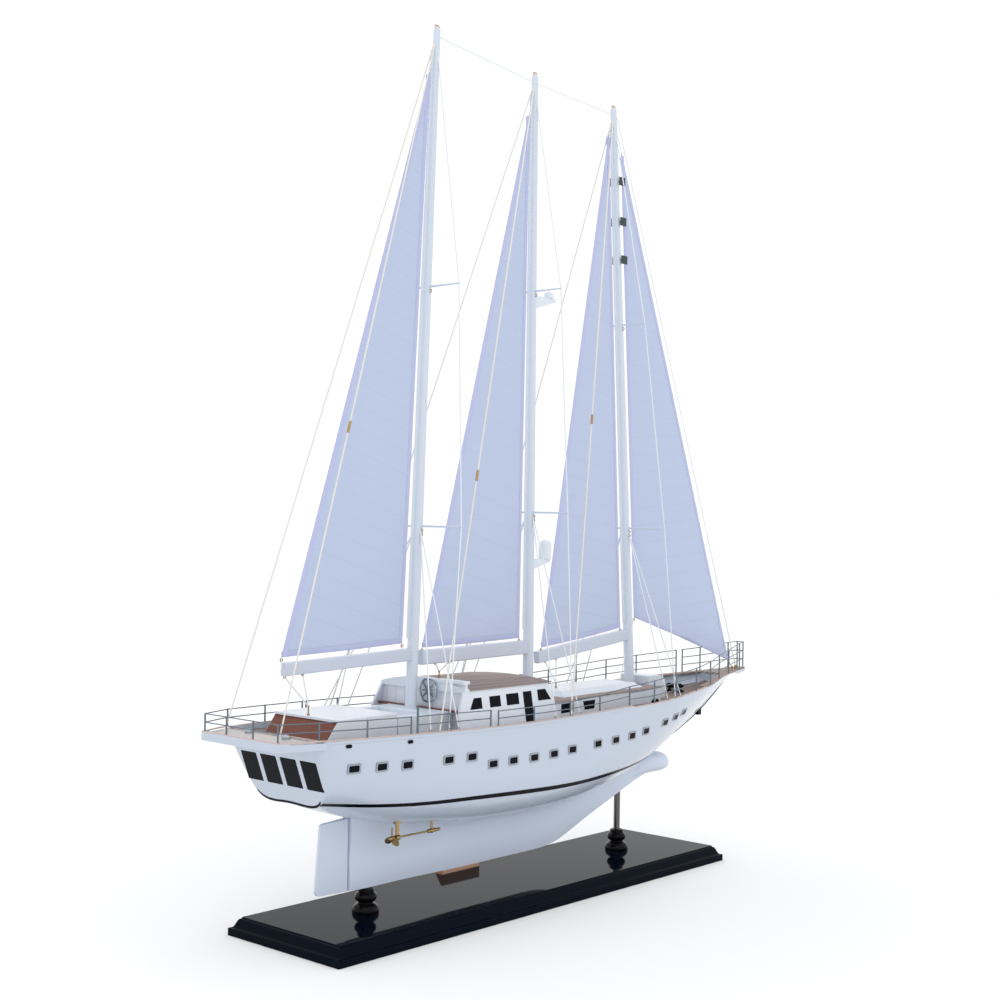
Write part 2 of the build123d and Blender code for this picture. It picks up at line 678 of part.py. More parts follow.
def crowned(x, half, eaves, crown, low):
    """An upright cross section with a flat foot, upright sides and an arched top."""
    with BuildSketch(across(x)) as section:
        with BuildLine():
            Line((-half, eaves), (-half, low))
            Line((-half, low), (half, low))
            Line((half, low), (half, eaves))
            ThreePointArc((half, eaves), (0, crown), (-half, eaves))
        make_face()
    return section.sketch.face()


WING_THICKNESS = 3
SLAB_LOW = 272.4
side_lean = math.atan2(HOUSE_FOOT_HALF - HOUSE_EAVES_HALF, HOUSE_EAVES - HOUSE_FOOT)
house_side = Plane(origin=(0, -HOUSE_FOOT_HALF, HOUSE_FOOT), x_dir=(1, 0, 0),
                   z_dir=(0, -math.cos(side_lean), math.sin(side_lean)))
house_side_port = Plane(origin=(0, HOUSE_FOOT_HALF, HOUSE_FOOT), x_dir=(1, 0, 0),
                        z_dir=(0, -math.cos(side_lean), -math.sin(side_lean)))


def on_house_side(points):
    """Points given as (x, height) put on the leaning side of the wheelhouse."""
    return [(x, (z - HOUSE_FOOT) / math.cos(side_lean)) for x, z in points]


SIDE_WINDOWS = [
    [(-139, 243.5), (-131, 256), (-118, 256), (-118, 243.5)],
    [(-105, 243.5), (-105, 256), (-86, 256), (-86, 243.5)],
    [(-76, 243.5), (-76, 256.5), (-54, 256.5), (-54, 243.5)],
    [(-46, 219.5), (-46, 257), (-30.5, 257), (-30.5, 219.5)],
    [(-20, 244.5), (-20, 257.5), (-5, 257.5), (4, 244.5)],
]
PANE = 0.9
TRUNK_HALF_AFT = 62
TRUNK_HALF_FORE = 47
TRUNK_WINDOWS = [
    [(35, 223.5), (35, 235), (61, 235), (61, 223.5)],
    [(85, 223.5), (81, 234.5), (108, 234.5), (106, 223.5)],
]


def trunk_half(x):
    """Half breadth of the forward trunk at x."""
    share = (x - TRUNK_X[0]) / (TRUNK_X[1] - TRUNK_X[0])
    return TRUNK_HALF_AFT + (TRUNK_HALF_FORE - TRUNK_HALF_AFT) * share


trunk_lean = math.atan2(TRUNK_HALF_AFT - TRUNK_HALF_FORE, TRUNK_X[1] - TRUNK_X[0])
trunk_side = Plane(origin=(0, -trunk_half(0), 0), x_dir=(math.cos(trunk_lean), math.sin(trunk_lean), 0),
                   z_dir=(math.sin(trunk_lean), -math.cos(trunk_lean), 0))

with BuildPart() as deckhouse_windows:
    for window in SIDE_WINDOWS:
        with BuildSketch(house_side) as pane:
            Polygon(*on_house_side(window), align=None)
        extrude(pane.sketch, amount=-PANE)
    for window in TRUNK_WINDOWS:
        with BuildSketch(trunk_side) as pane:
            Polygon(*window, align=None)
        extrude(pane.sketch, amount=-PANE)
    mirror(about=Plane.XZ)
save(deckhouse_windows, "deckhouse_windows")

SPINDLE_RADIUS = 1.5
with BuildPart() as wheelhouse:
    aft_x, fore_x = WHEELHOUSE_X
    with BuildSketch(Plane.XY.offset(HOUSE_FOOT)) as foot_plan:
        Polygon((aft_x - 3, -HOUSE_FOOT_HALF), (fore_x + 10, -HOUSE_FOOT_HALF),
                (fore_x + 16, -HOUSE_FOOT_HALF + 30), (fore_x + 16, HOUSE_FOOT_HALF - 30),
                (fore_x + 10, HOUSE_FOOT_HALF), (aft_x - 3, HOUSE_FOOT_HALF), align=None)
    with BuildSketch(Plane.XY.offset(HOUSE_EAVES)) as eaves_plan:
        Polygon((aft_x, -HOUSE_EAVES_HALF), (fore_x - 10, -HOUSE_EAVES_HALF),
                (fore_x - 2, -HOUSE_EAVES_HALF + 30), (fore_x - 2, HOUSE_EAVES_HALF - 30),
                (fore_x - 10, HOUSE_EAVES_HALF), (aft_x, HOUSE_EAVES_HALF), align=None)
    loft([foot_plan.sketch.face(), eaves_plan.sketch.face()], ruled=True)
    loft([crowned(aft_x, HOUSE_EAVES_HALF, HOUSE_EAVES + 0.5, 273.5, HOUSE_EAVES - 4),
          crowned(fore_x - 10, HOUSE_EAVES_HALF, HOUSE_EAVES + 0.5, 268, HOUSE_EAVES - 4)])
    loft([crowned(aft_x - 2.5, HOUSE_EAVES_HALF + 0.6, HOUSE_EAVES + 2.4, 275.6, HOUSE_EAVES - 2),
          crowned(aft_x + 6, HOUSE_EAVES_HALF + 0.6, HOUSE_EAVES + 2.4, 275.4, HOUSE_EAVES - 2)])
    box((aft_x - 8, -80, HOUSE_FOOT), (aft_x, 80, HOUSE_EAVES - 2), mode=Mode.SUBTRACT)
    # the sides run on aft of the wall as raked wings
    for side, inward in ((house_side, -WING_THICKNESS), (house_side_port, WING_THICKNESS)):
        with BuildSketch(side) as wing:
            Polygon(*on_house_side([(aft_x + 1, HOUSE_FOOT + 5), (aft_x - 16, HOUSE_FOOT + 5),
                                    (aft_x - 15, 238), (aft_x - 3.5, HOUSE_EAVES),
                                    (aft_x + 1, HOUSE_EAVES)]), align=None)
        extrude(wing.sketch, amount=inward)
    # a parapet over the starboard half of the aft wall, with a level slab on it
    box((aft_x, -66.5, HOUSE_EAVES - 2), (aft_x + 4, -26, SLAB_LOW))
    box((aft_x - 4, -68, SLAB_LOW), (aft_x + 6, -24.5, SLAB_LOW + 3.2))
    stand_on_deck()
    add(deckhouse_windows.part, mode=Mode.SUBTRACT)
    add(deck_trim.part, mode=Mode.SUBTRACT)
    rod(WHEEL_CENTRE - Vector(5, 0, 0), WHEEL_CENTRE + Vector(16, 0, 0),
        SPINDLE_RADIUS + RUNNING_FIT, mode=Mode.SUBTRACT)
save(wheelhouse, "wheelhouse")

with BuildPart() as wheelhouse_roof:
    half = HOUSE_EAVES_HALF + 1.2
    loft([crowned(aft_x + 6, half, HOUSE_EAVES + 1.8, 275, HOUSE_EAVES + 0.3),
          crowned(fore_x - 6, half, HOUSE_EAVES + 1.8, 269.5, HOUSE_EAVES + 0.3)])
    add(wheelhouse.part, mode=Mode.SUBTRACT)
save(wheelhouse_roof, "wheelhouse_roof")

SPOKES = 8
with BuildPart() as steering_wheel:
    wheel_plane = Plane(origin=WHEEL_CENTRE, z_dir=(1, 0, 0))
    with BuildSketch(wheel_plane) as rim_path:
        Circle(WHEEL_RADIUS)
        Circle(WHEEL_RADIUS - 2, mode=Mode.SUBTRACT)
        Circle(3)
        with PolarLocations(WHEEL_RADIUS / 2, SPOKES):
            Rectangle(WHEEL_RADIUS - 2, 1.3)
    extrude(rim_path.sketch, amount=0.9, both=True)
    rod(WHEEL_CENTRE, WHEEL_CENTRE + Vector(14, 0, 0), SPINDLE_RADIUS)
save(steering_wheel, "steering_wheel")

with BuildPart() as forward_trunk:
    with BuildSketch(Plane.XY.offset(DECK_FLOOR)) as trunk_plan:
        Polygon((TRUNK_X[0], -trunk_half(TRUNK_X[0])), (TRUNK_X[1], -TRUNK_HALF_FORE),
                (TRUNK_X[1], TRUNK_HALF_FORE), (TRUNK_X[0], trunk_half(TRUNK_X[0])), align=None)
    extrude(trunk_plan.sketch, amount=TRUNK_TOP - ROOF_SHEET - DECK_FLOOR)
    with BuildSketch(Plane.XY.offset(TRUNK_TOP - ROOF_SHEET)) as skylight_foot:
        Polygon((62, -44), (238, -38), (238, 38), (62, 44), align=None)
    with BuildSketch(Plane.XY.offset(SKYLIGHT_TOP)) as skylight_top:
        Polygon((74, -28), (230, -24), (230, 24), (74, 28), align=None)
    loft([skylight_foot.sketch.face(), skylight_top.sketch.face()], ruled=True)
    stand_on_deck()
    add(wheelhouse.part, mode=Mode.SUBTRACT)
    add(deckhouse_windows.part, mode=Mode.SUBTRACT)
save(forward_trunk, "forward_trunk")

with BuildPart() as trunk_roof:
    with BuildSketch(Plane.XY.offset(TRUNK_TOP - ROOF_SHEET)) as roof_plan:
        Polygon((TRUNK_X[0], -trunk_half(TRUNK_X[0]) - 1), (TRUNK_X[1] + 1, -TRUNK_HALF_FORE - 1),
                (TRUNK_X[1] + 1, TRUNK_HALF_FORE + 1), (TRUNK_X[0], trunk_half(TRUNK_X[0]) + 1),
                align=None)
    extrude(roof_plan.sketch, amount=ROOF_SHEET)
    add(wheelhouse.part, mode=Mode.SUBTRACT)
    add(forward_trunk.part, mode=Mode.SUBTRACT)
save(trunk_roof, "trunk_roof")

with BuildPart() as companion:
    with BuildSketch(Plane.XZ.offset(-23)) as companion_side:
        Polygon((266, DECK_FLOOR), (266, 250), (292, 250), (304, 243), (304, DECK_FLOOR), align=None)
    extrude(companion_side.sketch, amount=46)
    stand_on_deck()
    box((264, -9, 244.5), (267, 9, 247), mode=Mode.SUBTRACT)
save(companion, "companion")

with BuildPart() as deck_fittings:
    # windlass
    for y in (-9, 9):
        rod(Vector(360, y, DECK_FLOOR), Vector(360, y, 232), 2.2)
    rod(Vector(360, -13, 228), Vector(360, 13, 228), 3)
    box((354, -11, DECK_FLOOR), (366, 11, 222.5))
    # mooring bitts on the side decks
    for y in (-80, 80):
        box((194, y - 4, DECK_FLOOR), (212, y + 4, 221.3))
        for x in (199, 207):
            rod(Vector(x, y, 221), Vector(x, y, 229.5), 1.7)
        rod(Vector(195.5, y, 226.5), Vector(210.5, y, 226.5), 1.1)
    stand_on_deck()
    # domed vents on the aft deck
    for y in (-30, 30):
        with Locations((-374, y, 229.6)):
            Cylinder(4.5, 2.5, align=(Align.CENTER, Align.CENTER, Align.MIN))
        with Locations((-374, y, 232.1)):
            Sphere(4.5, arc_size1=0)
save(deck_fittings, "deck_fittings")

# ---- rails --------------------------------------------------------------------------------------

rail_top = fair([
    (-411, 250.4), (-368, 250.1), (-309, 248.6), (-250, 247.4), (-193, 246.4), (-130, 244.7),
    (-117, 243.0), (-56, 242.6), (11, 242.9), (69, 245.5), (132, 251.5), (189, 254.6), (244, 258.4),
    (300, 262.5), (353, 266.4), (405, 271.2), (456, 274.7), (507, 280.2),
])
STERN_X = -409.5
STERN_POSTS_Y = (-20, 23)
NOSE_POST = Vector(526, 5, 0)
SEAT = 0.8
THIRD_BAR_X = 137
# posts of each unbroken run of rail, aft to forward
STARBOARD_RUNS = [
    [-368, -309, -250],
    [-241, -193, -130],
    [-117.5, -56, 11, 69.5, 132.5, 189, 244, 301, 354, 407, 458, 509],
]
PORT_RUNS = [
    [-368, -309, -250],
    [-244, -193, -130],
    [-117.5, -56, 11, 69.5, 132.5, 189, 244, 301, 354, 417],
    [427, 458, 509],
]


def post_foot(x):
    """Top of the cap rail or foredeck at x, where the posts stand."""
    if x < -366:
        return PLATFORM_TOP + CAP
    if x > FOREDECK_X:
        return deck_edge(x) + 1.6
    return deck_edge(x) + CAP


def rail_point(x, share, side=-1):
    """A point on the rail's line at x, a share of the way from the post's foot to its top."""
    z = post_foot(x) + (rail_top(x) - post_foot(x)) * share
    return Vector(x, side * (sheer_half_breadth(x) - RAIL_INSET), z)


def rail_post(foot, height):
    """Add one post, let into what it stands on, with a rounded head."""
    rod(foot - Vector(0, 0, SEAT), foot + Vector(0, 0, height), POST_RADIUS)
    with Locations(foot + Vector(0, 0, height)):
        Sphere(POST_RADIUS)


def bar_shares(x):
    """Heights of the bars at x as shares of the post's height."""
    return (1, 0.66, 0.33) if x > THIRD_BAR_X else (1, 0.5)


def rail_runs(runs, side):
    """Add the posts and bars of one side's runs of rail."""
    for run in runs:
        for x in run:
            rail_post(rail_point(x, 0, side), rail_top(x) - post_foot(x))
        for x, next_x in zip(run, run[1:]):
            for share in bar_shares(next_x):
                rod(rail_point(x, share, side), rail_point(next_x, share, side), BAR_RADIUS)


# the gate's forward post on the starboard side is thicker and taller than the others
GATE_POST_RADIUS = 1.25
GATE_POST_HEIGHT = 28.5
with BuildPart() as side_rails_stbd:
    rail_runs(STARBOARD_RUNS, -1)
    gate_foot = rail_point(STARBOARD_RUNS[1][0], 0)
    rod(gate_foot, gate_foot + Vector(0, 0, GATE_POST_HEIGHT), GATE_POST_RADIUS)
save(side_rails_stbd, "side_rails_stbd")

with BuildPart() as side_rails_port:
    rail_runs(PORT_RUNS, 1)
save(side_rails_port, "side_rails_port")

END_GAP = 1.3
with BuildPart() as stern_rail:
    corner = Vector(STERN_X, sheer_half_breadth(STERN_X) - RAIL_INSET - 1, PLATFORM_TOP + CAP)
    stern_height = rail_top(STERN_X) - corner.Z
    for foot in both_sides(corner):
        rail_post(foot, stern_height)
        side = 1 if foot.Y > 0 else -1
        for share in (1, 0.5):
            last = rail_point(-368, share, side)
            bar_start = foot + Vector(0, 0, stern_height * share)
            rod(bar_start, last - (last - bar_start).normalized() * END_GAP, BAR_RADIUS)
    for y in STERN_POSTS_Y:
        rail_post(Vector(STERN_X, y, corner.Z), stern_height)
    for share in (1, 0.5):
        level = Vector(0, 0, stern_height * share)
        rod(both_sides(corner)[0] + level, both_sides(corner)[1] + level, BAR_RADIUS)
save(stern_rail, "stern_rail")

with BuildPart() as bow_pulpit:
    nose_z = deck_edge(NOSE_POST.X) + 1.6
    nose_height = 281.5 - nose_z
    for y in (-NOSE_POST.Y, NOSE_POST.Y):
        foot = Vector(NOSE_POST.X, y, nose_z)
        rail_post(foot, nose_height)
        side = 1 if y > 0 else -1
        for share in (1, 0.66, 0.33):
            last = rail_point(509, share, side)
            bar_start = foot + Vector(0, 0, nose_height * share)
            rod(bar_start, last - (last - bar_start).normalized() * END_GAP, BAR_RADIUS)
    for share in (1, 0.66, 0.33):
        level = nose_z + nose_height * share
        rod(Vector(NOSE_POST.X, -NOSE_POST.Y, level), Vector(NOSE_POST.X, NOSE_POST.Y, level),
            BAR_RADIUS)
save(bow_pulpit, "bow_pulpit")

# ---- masts, booms and spreaders -----------------------------------------------------------------

TRACK_FOOT = 322


def mast_at(name, z):
    """The mast's centre at height z."""
    return at_height(*MASTS[name], z)


def mast_radius(name, z):
    """The mast's radius at height z."""
    foot, head = MASTS[name]
    share = (z - foot.Z) / (head.Z - foot.Z)
    return MAST_FOOT_RADIUS + (MAST_HEAD_RADIUS - MAST_FOOT_RADIUS) * share


masts = {}
for mast_name, (foot, head) in MASTS.items():
    with BuildPart() as mast:
        reach = (foot - head).normalized() * 4
        rod(foot + reach, head, MAST_FOOT_RADIUS, MAST_HEAD_RADIUS)
        with Locations(head):
            Sphere(MAST_HEAD_RADIUS)
        top = head.Z - 20
        with BuildSketch(Plane.XZ.offset(-TRACK_THICKNESS / 2)) as track:
            Polygon((mast_at(mast_name, TRACK_FOOT).X, TRACK_FOOT),
                    (mast_at(mast_name, top).X, top),
                    (mast_at(mast_name, top).X - mast_radius(mast_name, top) - TRACK_DEPTH, top - 4),
                    (mast_at(mast_name, TRACK_FOOT).X - mast_radius(mast_name, TRACK_FOOT)
                     - TRACK_DEPTH, TRACK_FOOT), align=None)
        extrude(track.sketch, amount=TRACK_THICKNESS)
        box((foot.X - 12, -12, foot.Z - 12), (foot.X + 12, 12, foot.Z), mode=Mode.SUBTRACT)
    save(mast, f"{mast_name}_mast")
    masts[mast_name] = mast

for boom_name, (aft_end, fore_end) in BOOMS.items():
    run = fore_end - aft_end
    with BuildPart() as boom:
        beam = Plane(origin=aft_end, x_dir=(0, 1, 0), z_dir=run)
        with BuildSketch(beam) as beam_section:
            RectangleRounded(BOOM_WIDTH, BOOM_DEPTH[boom_name], radius=1.6)
        extrude(beam_section.sketch, amount=run.length + MAST_FOOT_RADIUS)
        add(masts[boom_name].part, mode=Mode.SUBTRACT)
        scrap = boom.solids().sort_by(Axis.X)[1:]
        for piece in scrap:
            add(piece, mode=Mode.SUBTRACT)
    save(boom, f"{boom_name}_boom")

SPREADER_RADIUS = 1.3
SPREADER_TIP_RADIUS = 0.9
with BuildPart() as spreaders:
    for mast_name, pairs in SPREADERS.items():
        for z, reach in pairs:
            root = mast_at(mast_name, z)
            for tip in both_sides(root + Vector(0, reach, 0)):
                rod(root, tip, SPREADER_RADIUS, SPREADER_TIP_RADIUS)
    for mast in masts.values():
        add(mast.part, mode=Mode.SUBTRACT)
save(spreaders, "spreaders")

# ---- gear on the masts --------------------------------------------------------------------------

with BuildPart() as radar_scanner:
    face_x = mast_at("main", 732).X
    with BuildSketch(Plane.XZ.offset(-3.5)) as wedge:
        Polygon((face_x, 722), (face_x, 739), (82, 739), (82, 735), align=None)
    extrude(wedge.sketch, amount=7)
    with Locations((72, 0, 739)):
        Cylinder(6, 6, align=(Align.CENTER, Align.CENTER, Align.MIN))
    with Locations((72, 0, 745)):
        Sphere(6, arc_size1=0)
    add(masts["main"].part, mode=Mode.SUBTRACT)
save(radar_scanner, "radar_scanner")

with BuildPart() as lower_radome:
    face_x = mast_at("main", 405).X
    with BuildSketch(Plane.XZ.offset(-3.5)) as wedge:
        Polygon((face_x, 396), (face_x, 410), (78, 410), (78, 406), align=None)
    extrude(wedge.sketch, amount=7)
    with Locations((72, 0, 410)):
        Cylinder(8, 20, align=(Align.CENTER, Align.CENTER, Align.MIN))
    with Locations((72, 0, 430)):
        Sphere(8, arc_size1=0)
    add(masts["main"].part, mode=Mode.SUBTRACT)
save(lower_radome, "lower_radome")

LIGHT_HEIGHTS = (910.5, 857.4, 806.9)
LIGHT_SIZE = (12, 1.2, 11)
LIGHT_OUT = 7.5
for node, side in (("starboard_lights", -1), ("port_lights", 1)):
    with BuildPart() as lights:
        for z in LIGHT_HEIGHTS:
            centre = mast_at("fore", z) + Vector(5, side * LIGHT_OUT, 0)
            with Locations(centre):
                Box(*LIGHT_SIZE)
            rod(centre, centre + Vector(-3, -side * LIGHT_OUT, 0), 1)
        add(masts["fore"].part, mode=Mode.SUBTRACT)
        box((100, -0.3, 700), (300, 0.3, 1000), mode=Mode.SUBTRACT)
    save(lights, node)

# ---- sails --------------------------------------------------------------------------------------

for sail_name, corners in SAILS.items():
    with BuildPart() as sail:
        with BuildSketch(Plane.XZ.offset(-SAIL_THICKNESS / 2)) as triangle:
            Polygon(*[(corner.X, corner.Z) for corner in corners], align=None)
        extrude(triangle.sketch, amount=SAIL_THICKNESS)
    save(sail, sail_name)

# ---- rigging ------------------------------------------------------------------------------------

HEAD_DROP = 10
# stations on the deck of each mast's cap shroud and of its two lower shrouds
SHROUD_FEET = {"mizzen": (-195, (-222, -180)), "main": (14, (-17, 30)), "fore": (241, (256, 222))}
# where each mast's running backstays come down
BACKSTAY_FEET = {
    "mizzen": (Vector(-406, -56, 232), Vector(-409, 28, 232)),
    "main": (Vector(-209, -91, 229), Vector(-209, 91, 229)),
    "fore": (Vector(12, -95, 227), Vector(12, 95, 227)),
}
TURNBUCKLES = {"mizzen": 556, "main": 509, "fore": 586}
# on each boom and on the roof under it: two lifting points and the block they run to
SHEETS = {
    "mizzen": (Vector(-352, 0, 290), Vector(-327, 0, 291), Vector(-318, 0, 256)),
    "main": (Vector(-124, 0, 290.5), Vector(-98, 0, 291), Vector(-117, 0, 280)),
    "fore": (Vector(75.6, 0, 280), Vector(97.4, 0, 282), Vector(98, 0, 251)),
}
FORESTAY = (Vector(208, 0, 996), Vector(513.8, 0, 246))
EYE_RADIUS = 1.7
PLATE_EYE_RADIUS = 1.2
EYE_WIRE = 0.5


def chain_plate(x, side):
    """Where a shroud comes down at x, on top of the cap rail."""
    return Vector(x, side * (sheer_half_breadth(x) - RAIL_INSET), deck_edge(x) + CAP)


def cord(start, end, radius=CORD_RADIUS):
    """Add one taut line."""
    rod(start, end, radius)


with BuildPart() as shrouds:
    for mast_name, (cap_x, lower_xs) in SHROUD_FEET.items():
        (upper_z, upper_out), (lower_z, lower_out) = SPREADERS[mast_name]
        masthead = mast_at(mast_name, MASTS[mast_name][1].Z - HEAD_DROP)
        for side in (-1, 1):
            upper_tip = mast_at(mast_name, upper_z) + Vector(0, side * (upper_out - 1), 0)
            lower_tip = mast_at(mast_name, lower_z) + Vector(0, side * (lower_out - 1), 0)
            cord(masthead, upper_tip)
            cord(upper_tip, lower_tip)
            cord(lower_tip, chain_plate(cap_x, side))
            root = mast_at(mast_name, lower_z - 4) + Vector(0, side * 5, 0)
            for foot_x in lower_xs:
                cord(root, chain_plate(foot_x, side))
save(shrouds, "shrouds")

with BuildPart() as running_backstays:
    for mast_name, feet in BACKSTAY_FEET.items():
        masthead = mast_at(mast_name, MASTS[mast_name][1].Z - 4)
        for foot in feet:
            cord(masthead, foot, BACKSTAY_RADIUS)
save(running_backstays, "running_backstays")

with BuildPart() as stays:
    heads = [mast_at(name, MASTS[name][1].Z - 6) for name in MASTS]
    for aft_head, fore_head in zip(heads, heads[1:]):
        cord(aft_head, fore_head)
    cord(*FORESTAY)
save(stays, "stays")

with BuildPart() as sheets:
    for first, second, block in SHEETS.values():
        cord(first, block)
        cord(second, block)
    for sail_name, mast_name in (("mizzen_sail", "mizzen"), ("main_sail", "main"),
                                 ("fore_sail", "fore")):
        head, clew, tack = SAILS[sail_name]
        cord(clew, clew - Vector(0, 0, clew.Z - along(*BOOMS[mast_name], 0.03).Z))
        cord(tack, tack - Vector(0, 0, 12))
        cord(head, mast_at(mast_name, MASTS[mast_name][1].Z - 14))
    head, clew, tack = SAILS["jib"]
    cord(head, mast_at("fore", MASTS["fore"][1].Z - 14))
    cord(clew, Vector(232, 0, TRUNK_TOP + 5))
    cord(tack, Vector(508, 0, deck_edge(508) - 1))
save(sheets, "sheets")

with BuildPart() as rigging_eyes:
    for mast_name, (foot, head) in MASTS.items():
        for step in (-1, 1):
            with Locations(Plane(origin=head + Vector(step * 1.8, 0, MAST_HEAD_RADIUS + 0.9),
                                 z_dir=(0, 1, 0))):
                Torus(EYE_RADIUS, EYE_WIRE)
        (upper_z, _), (lower_z, _) = SPREADERS[mast_name]
        for z in (upper_z - 5, lower_z - 5, lower_z - 10):
            for eye in both_sides(mast_at(mast_name, z) + Vector(0, mast_radius(mast_name, z) + 0.9, 0)):
                with Locations(Plane(origin=eye, z_dir=(1, 0, 0))):
                    Torus(EYE_RADIUS, EYE_WIRE)
    for mast_name, (cap_x, lower_xs) in SHROUD_FEET.items():
        for x in (cap_x, *lower_xs):
            for side in (-1, 1):
                with Locations(Plane(origin=chain_plate(x, side) + Vector(0, 0, 1), z_dir=(1, 0, 0))):
                    Torus(PLATE_EYE_RADIUS, EYE_WIRE)
    sail_eyes = [corner - Vector(0, 0, 3.2) for sail in SAILS.values() for corner in sail[1:]]
    boom_eyes = [eye for first, second, block in SHEETS.values() for eye in (first, second)]
    for eye in sail_eyes + boom_eyes:
        with Locations(Plane(origin=eye, z_dir=(0, 1, 0))):
            Torus(EYE_RADIUS, EYE_WIRE)
save(rigging_eyes, "rigging_eyes")

# heights at which the sheets' blocks stand on the roofs
BLOCK_FEET = {"mizzen": CABIN_ROOF + 0.8, "main": 275, "fore": SKYLIGHT_TOP + 0.8}
STAY_EYES_X = (504.6, 513.8)
with BuildPart() as brass_fittings:
    for mast_name, z in TURNBUCKLES.items():
        masthead = mast_at(mast_name, MASTS[mast_name][1].Z - 4)
        foot = BACKSTAY_FEET[mast_name][0]
        low = at_height(foot, masthead, z - 6)
        high = at_height(foot, masthead, z + 6)
        rod(low, high, 1.5)
    for sheet_name, (first, second, block) in SHEETS.items():
        foot = Vector(block.X, 0, BLOCK_FEET[sheet_name])
        rod(block, foot, 0.8)
        for centre, radius in ((block, 1.3), (foot, 1.6)):
            with Locations(centre):
                Sphere(radius)
    for x in STAY_EYES_X:
        rod(Vector(x, 0, deck_edge(x) - 1), Vector(x, 0, deck_edge(x) + 5.5), 1.5)
save(brass_fittings, "brass_fittings")
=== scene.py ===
"""The looks of a three-masted model sailing ship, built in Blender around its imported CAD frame.

Lengths are in metres in the frame's axes: +X to the bow, +Y to port and +Z up.
"""

import math

import bmesh
import bpy
from mathutils import Matrix, Vector
from mathutils.bvhtree import BVHTree


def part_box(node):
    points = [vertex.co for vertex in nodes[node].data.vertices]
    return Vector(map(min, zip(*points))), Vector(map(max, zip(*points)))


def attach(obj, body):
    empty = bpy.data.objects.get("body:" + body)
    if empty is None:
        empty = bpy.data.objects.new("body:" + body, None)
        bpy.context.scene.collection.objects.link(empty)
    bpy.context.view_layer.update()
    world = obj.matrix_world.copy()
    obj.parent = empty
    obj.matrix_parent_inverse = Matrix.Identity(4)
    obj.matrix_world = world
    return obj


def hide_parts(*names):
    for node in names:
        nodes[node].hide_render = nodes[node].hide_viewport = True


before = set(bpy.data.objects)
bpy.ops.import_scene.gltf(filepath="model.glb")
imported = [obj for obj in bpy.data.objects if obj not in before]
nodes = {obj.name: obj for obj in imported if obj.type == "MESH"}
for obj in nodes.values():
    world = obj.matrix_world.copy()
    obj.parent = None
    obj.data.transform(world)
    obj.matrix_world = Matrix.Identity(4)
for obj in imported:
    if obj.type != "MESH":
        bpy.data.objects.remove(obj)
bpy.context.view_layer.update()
MM = 0.001


def add_object(name, bm):
    """A new object in the scene with the mesh that bm holds."""
    mesh = bpy.data.meshes.new(name)
    bm.to_mesh(mesh)
    bm.free()
    piece = bpy.data.objects.new(name, mesh)
    bpy.context.collection.objects.link(piece)
    return piece


# ---- camera, floor and light ---------------------------------------------------------------------

CAMERA_PLACE = (-1.4051, -1.2404, 0.4657)
CAMERA_YAW, CAMERA_PITCH, CAMERA_ROLL = 41.738, 0.516, -0.905
CAMERA_LENS = 54.902
SHIP_MIDDLE = (0, 0, 0.5)
FLOOR_RADIUS = 12


def make_camera():
    """The camera stands off the starboard quarter, level with the deck."""
    yaw, pitch, roll = [math.radians(turn) for turn in (CAMERA_YAW, CAMERA_PITCH, CAMERA_ROLL)]
    forward = Vector((math.cos(yaw) * math.cos(pitch), math.sin(yaw) * math.cos(pitch), math.sin(pitch)))
    right = forward.cross(Vector((0, 0, 1))).normalized()
    down = forward.cross(right)
    tilted_right = right * math.cos(roll) + down * math.sin(roll)
    tilted_up = right * math.sin(roll) - down * math.cos(roll)
    data = bpy.data.cameras.new("camera")
    data.sensor_width = 36
    data.lens = CAMERA_LENS
    data.clip_end = 50
    camera = bpy.data.objects.new("camera", data)
    columns = (tilted_right, tilted_up, -forward, Vector(CAMERA_PLACE))
    camera.matrix_world = Matrix([[column[i] for column in columns] for i in range(3)] + [[0, 0, 0, 1]])
    bpy.context.collection.objects.link(camera)
    bpy.context.scene.camera = camera


def area_light(name, place, size, power):
    """A square soft light aimed at the middle of the ship."""
    data = bpy.data.lights.new(name, "AREA")
    data.size = size
    data.energy = power
    light = bpy.data.objects.new(name, data)
    light.location = place
    light.rotation_mode = "QUATERNION"
    light.rotation_quaternion = (Vector(SHIP_MIDDLE) - Vector(place)).to_track_quat("-Z", "Y")
    bpy.context.collection.objects.link(light)


def make_studio():
    """A white floor that reaches the horizon, a white sky and soft lights."""
    world = bpy.data.worlds.new("studio")
    world.use_nodes = True
    sky = world.node_tree.nodes["Background"]
    sky.inputs["Color"].default_value = (1, 1, 1, 1)
    sky.inputs["Strength"].default_value = 1.05
    bpy.context.scene.world = world
    bm = bmesh.new()
    bmesh.ops.create_circle(bm, cap_ends=True, radius=FLOOR_RADIUS, segments=96)
    floor = add_object("floor", bm)
    floor.data.materials.append(paint("floor_white", (0.97, 0.97, 0.97), 0.9, speckle=0.003, shine=0.0))
    area_light("key", (-2.2, -2.4, 2.4), 1.4, 6)
    area_light("top", (0.2, -0.6, 3.0), 1.8, 3)
    area_light("back", (0.8, 2.6, 1.8), 1.8, 3)


# ---- materials -----------------------------------------------------------------------------------

# the share of a plank that is its seam, and how dark the seam is beside the wood
CAULK_SHARE, CAULK_SHADE = 0.09, 0.45
# the width of a sail's panels in metres, the share that overlaps and how plainly it shows
SAIL_PANEL, OVERLAP_SHARE, OVERLAP_STRENGTH = 0.024, 0.05, 0.45


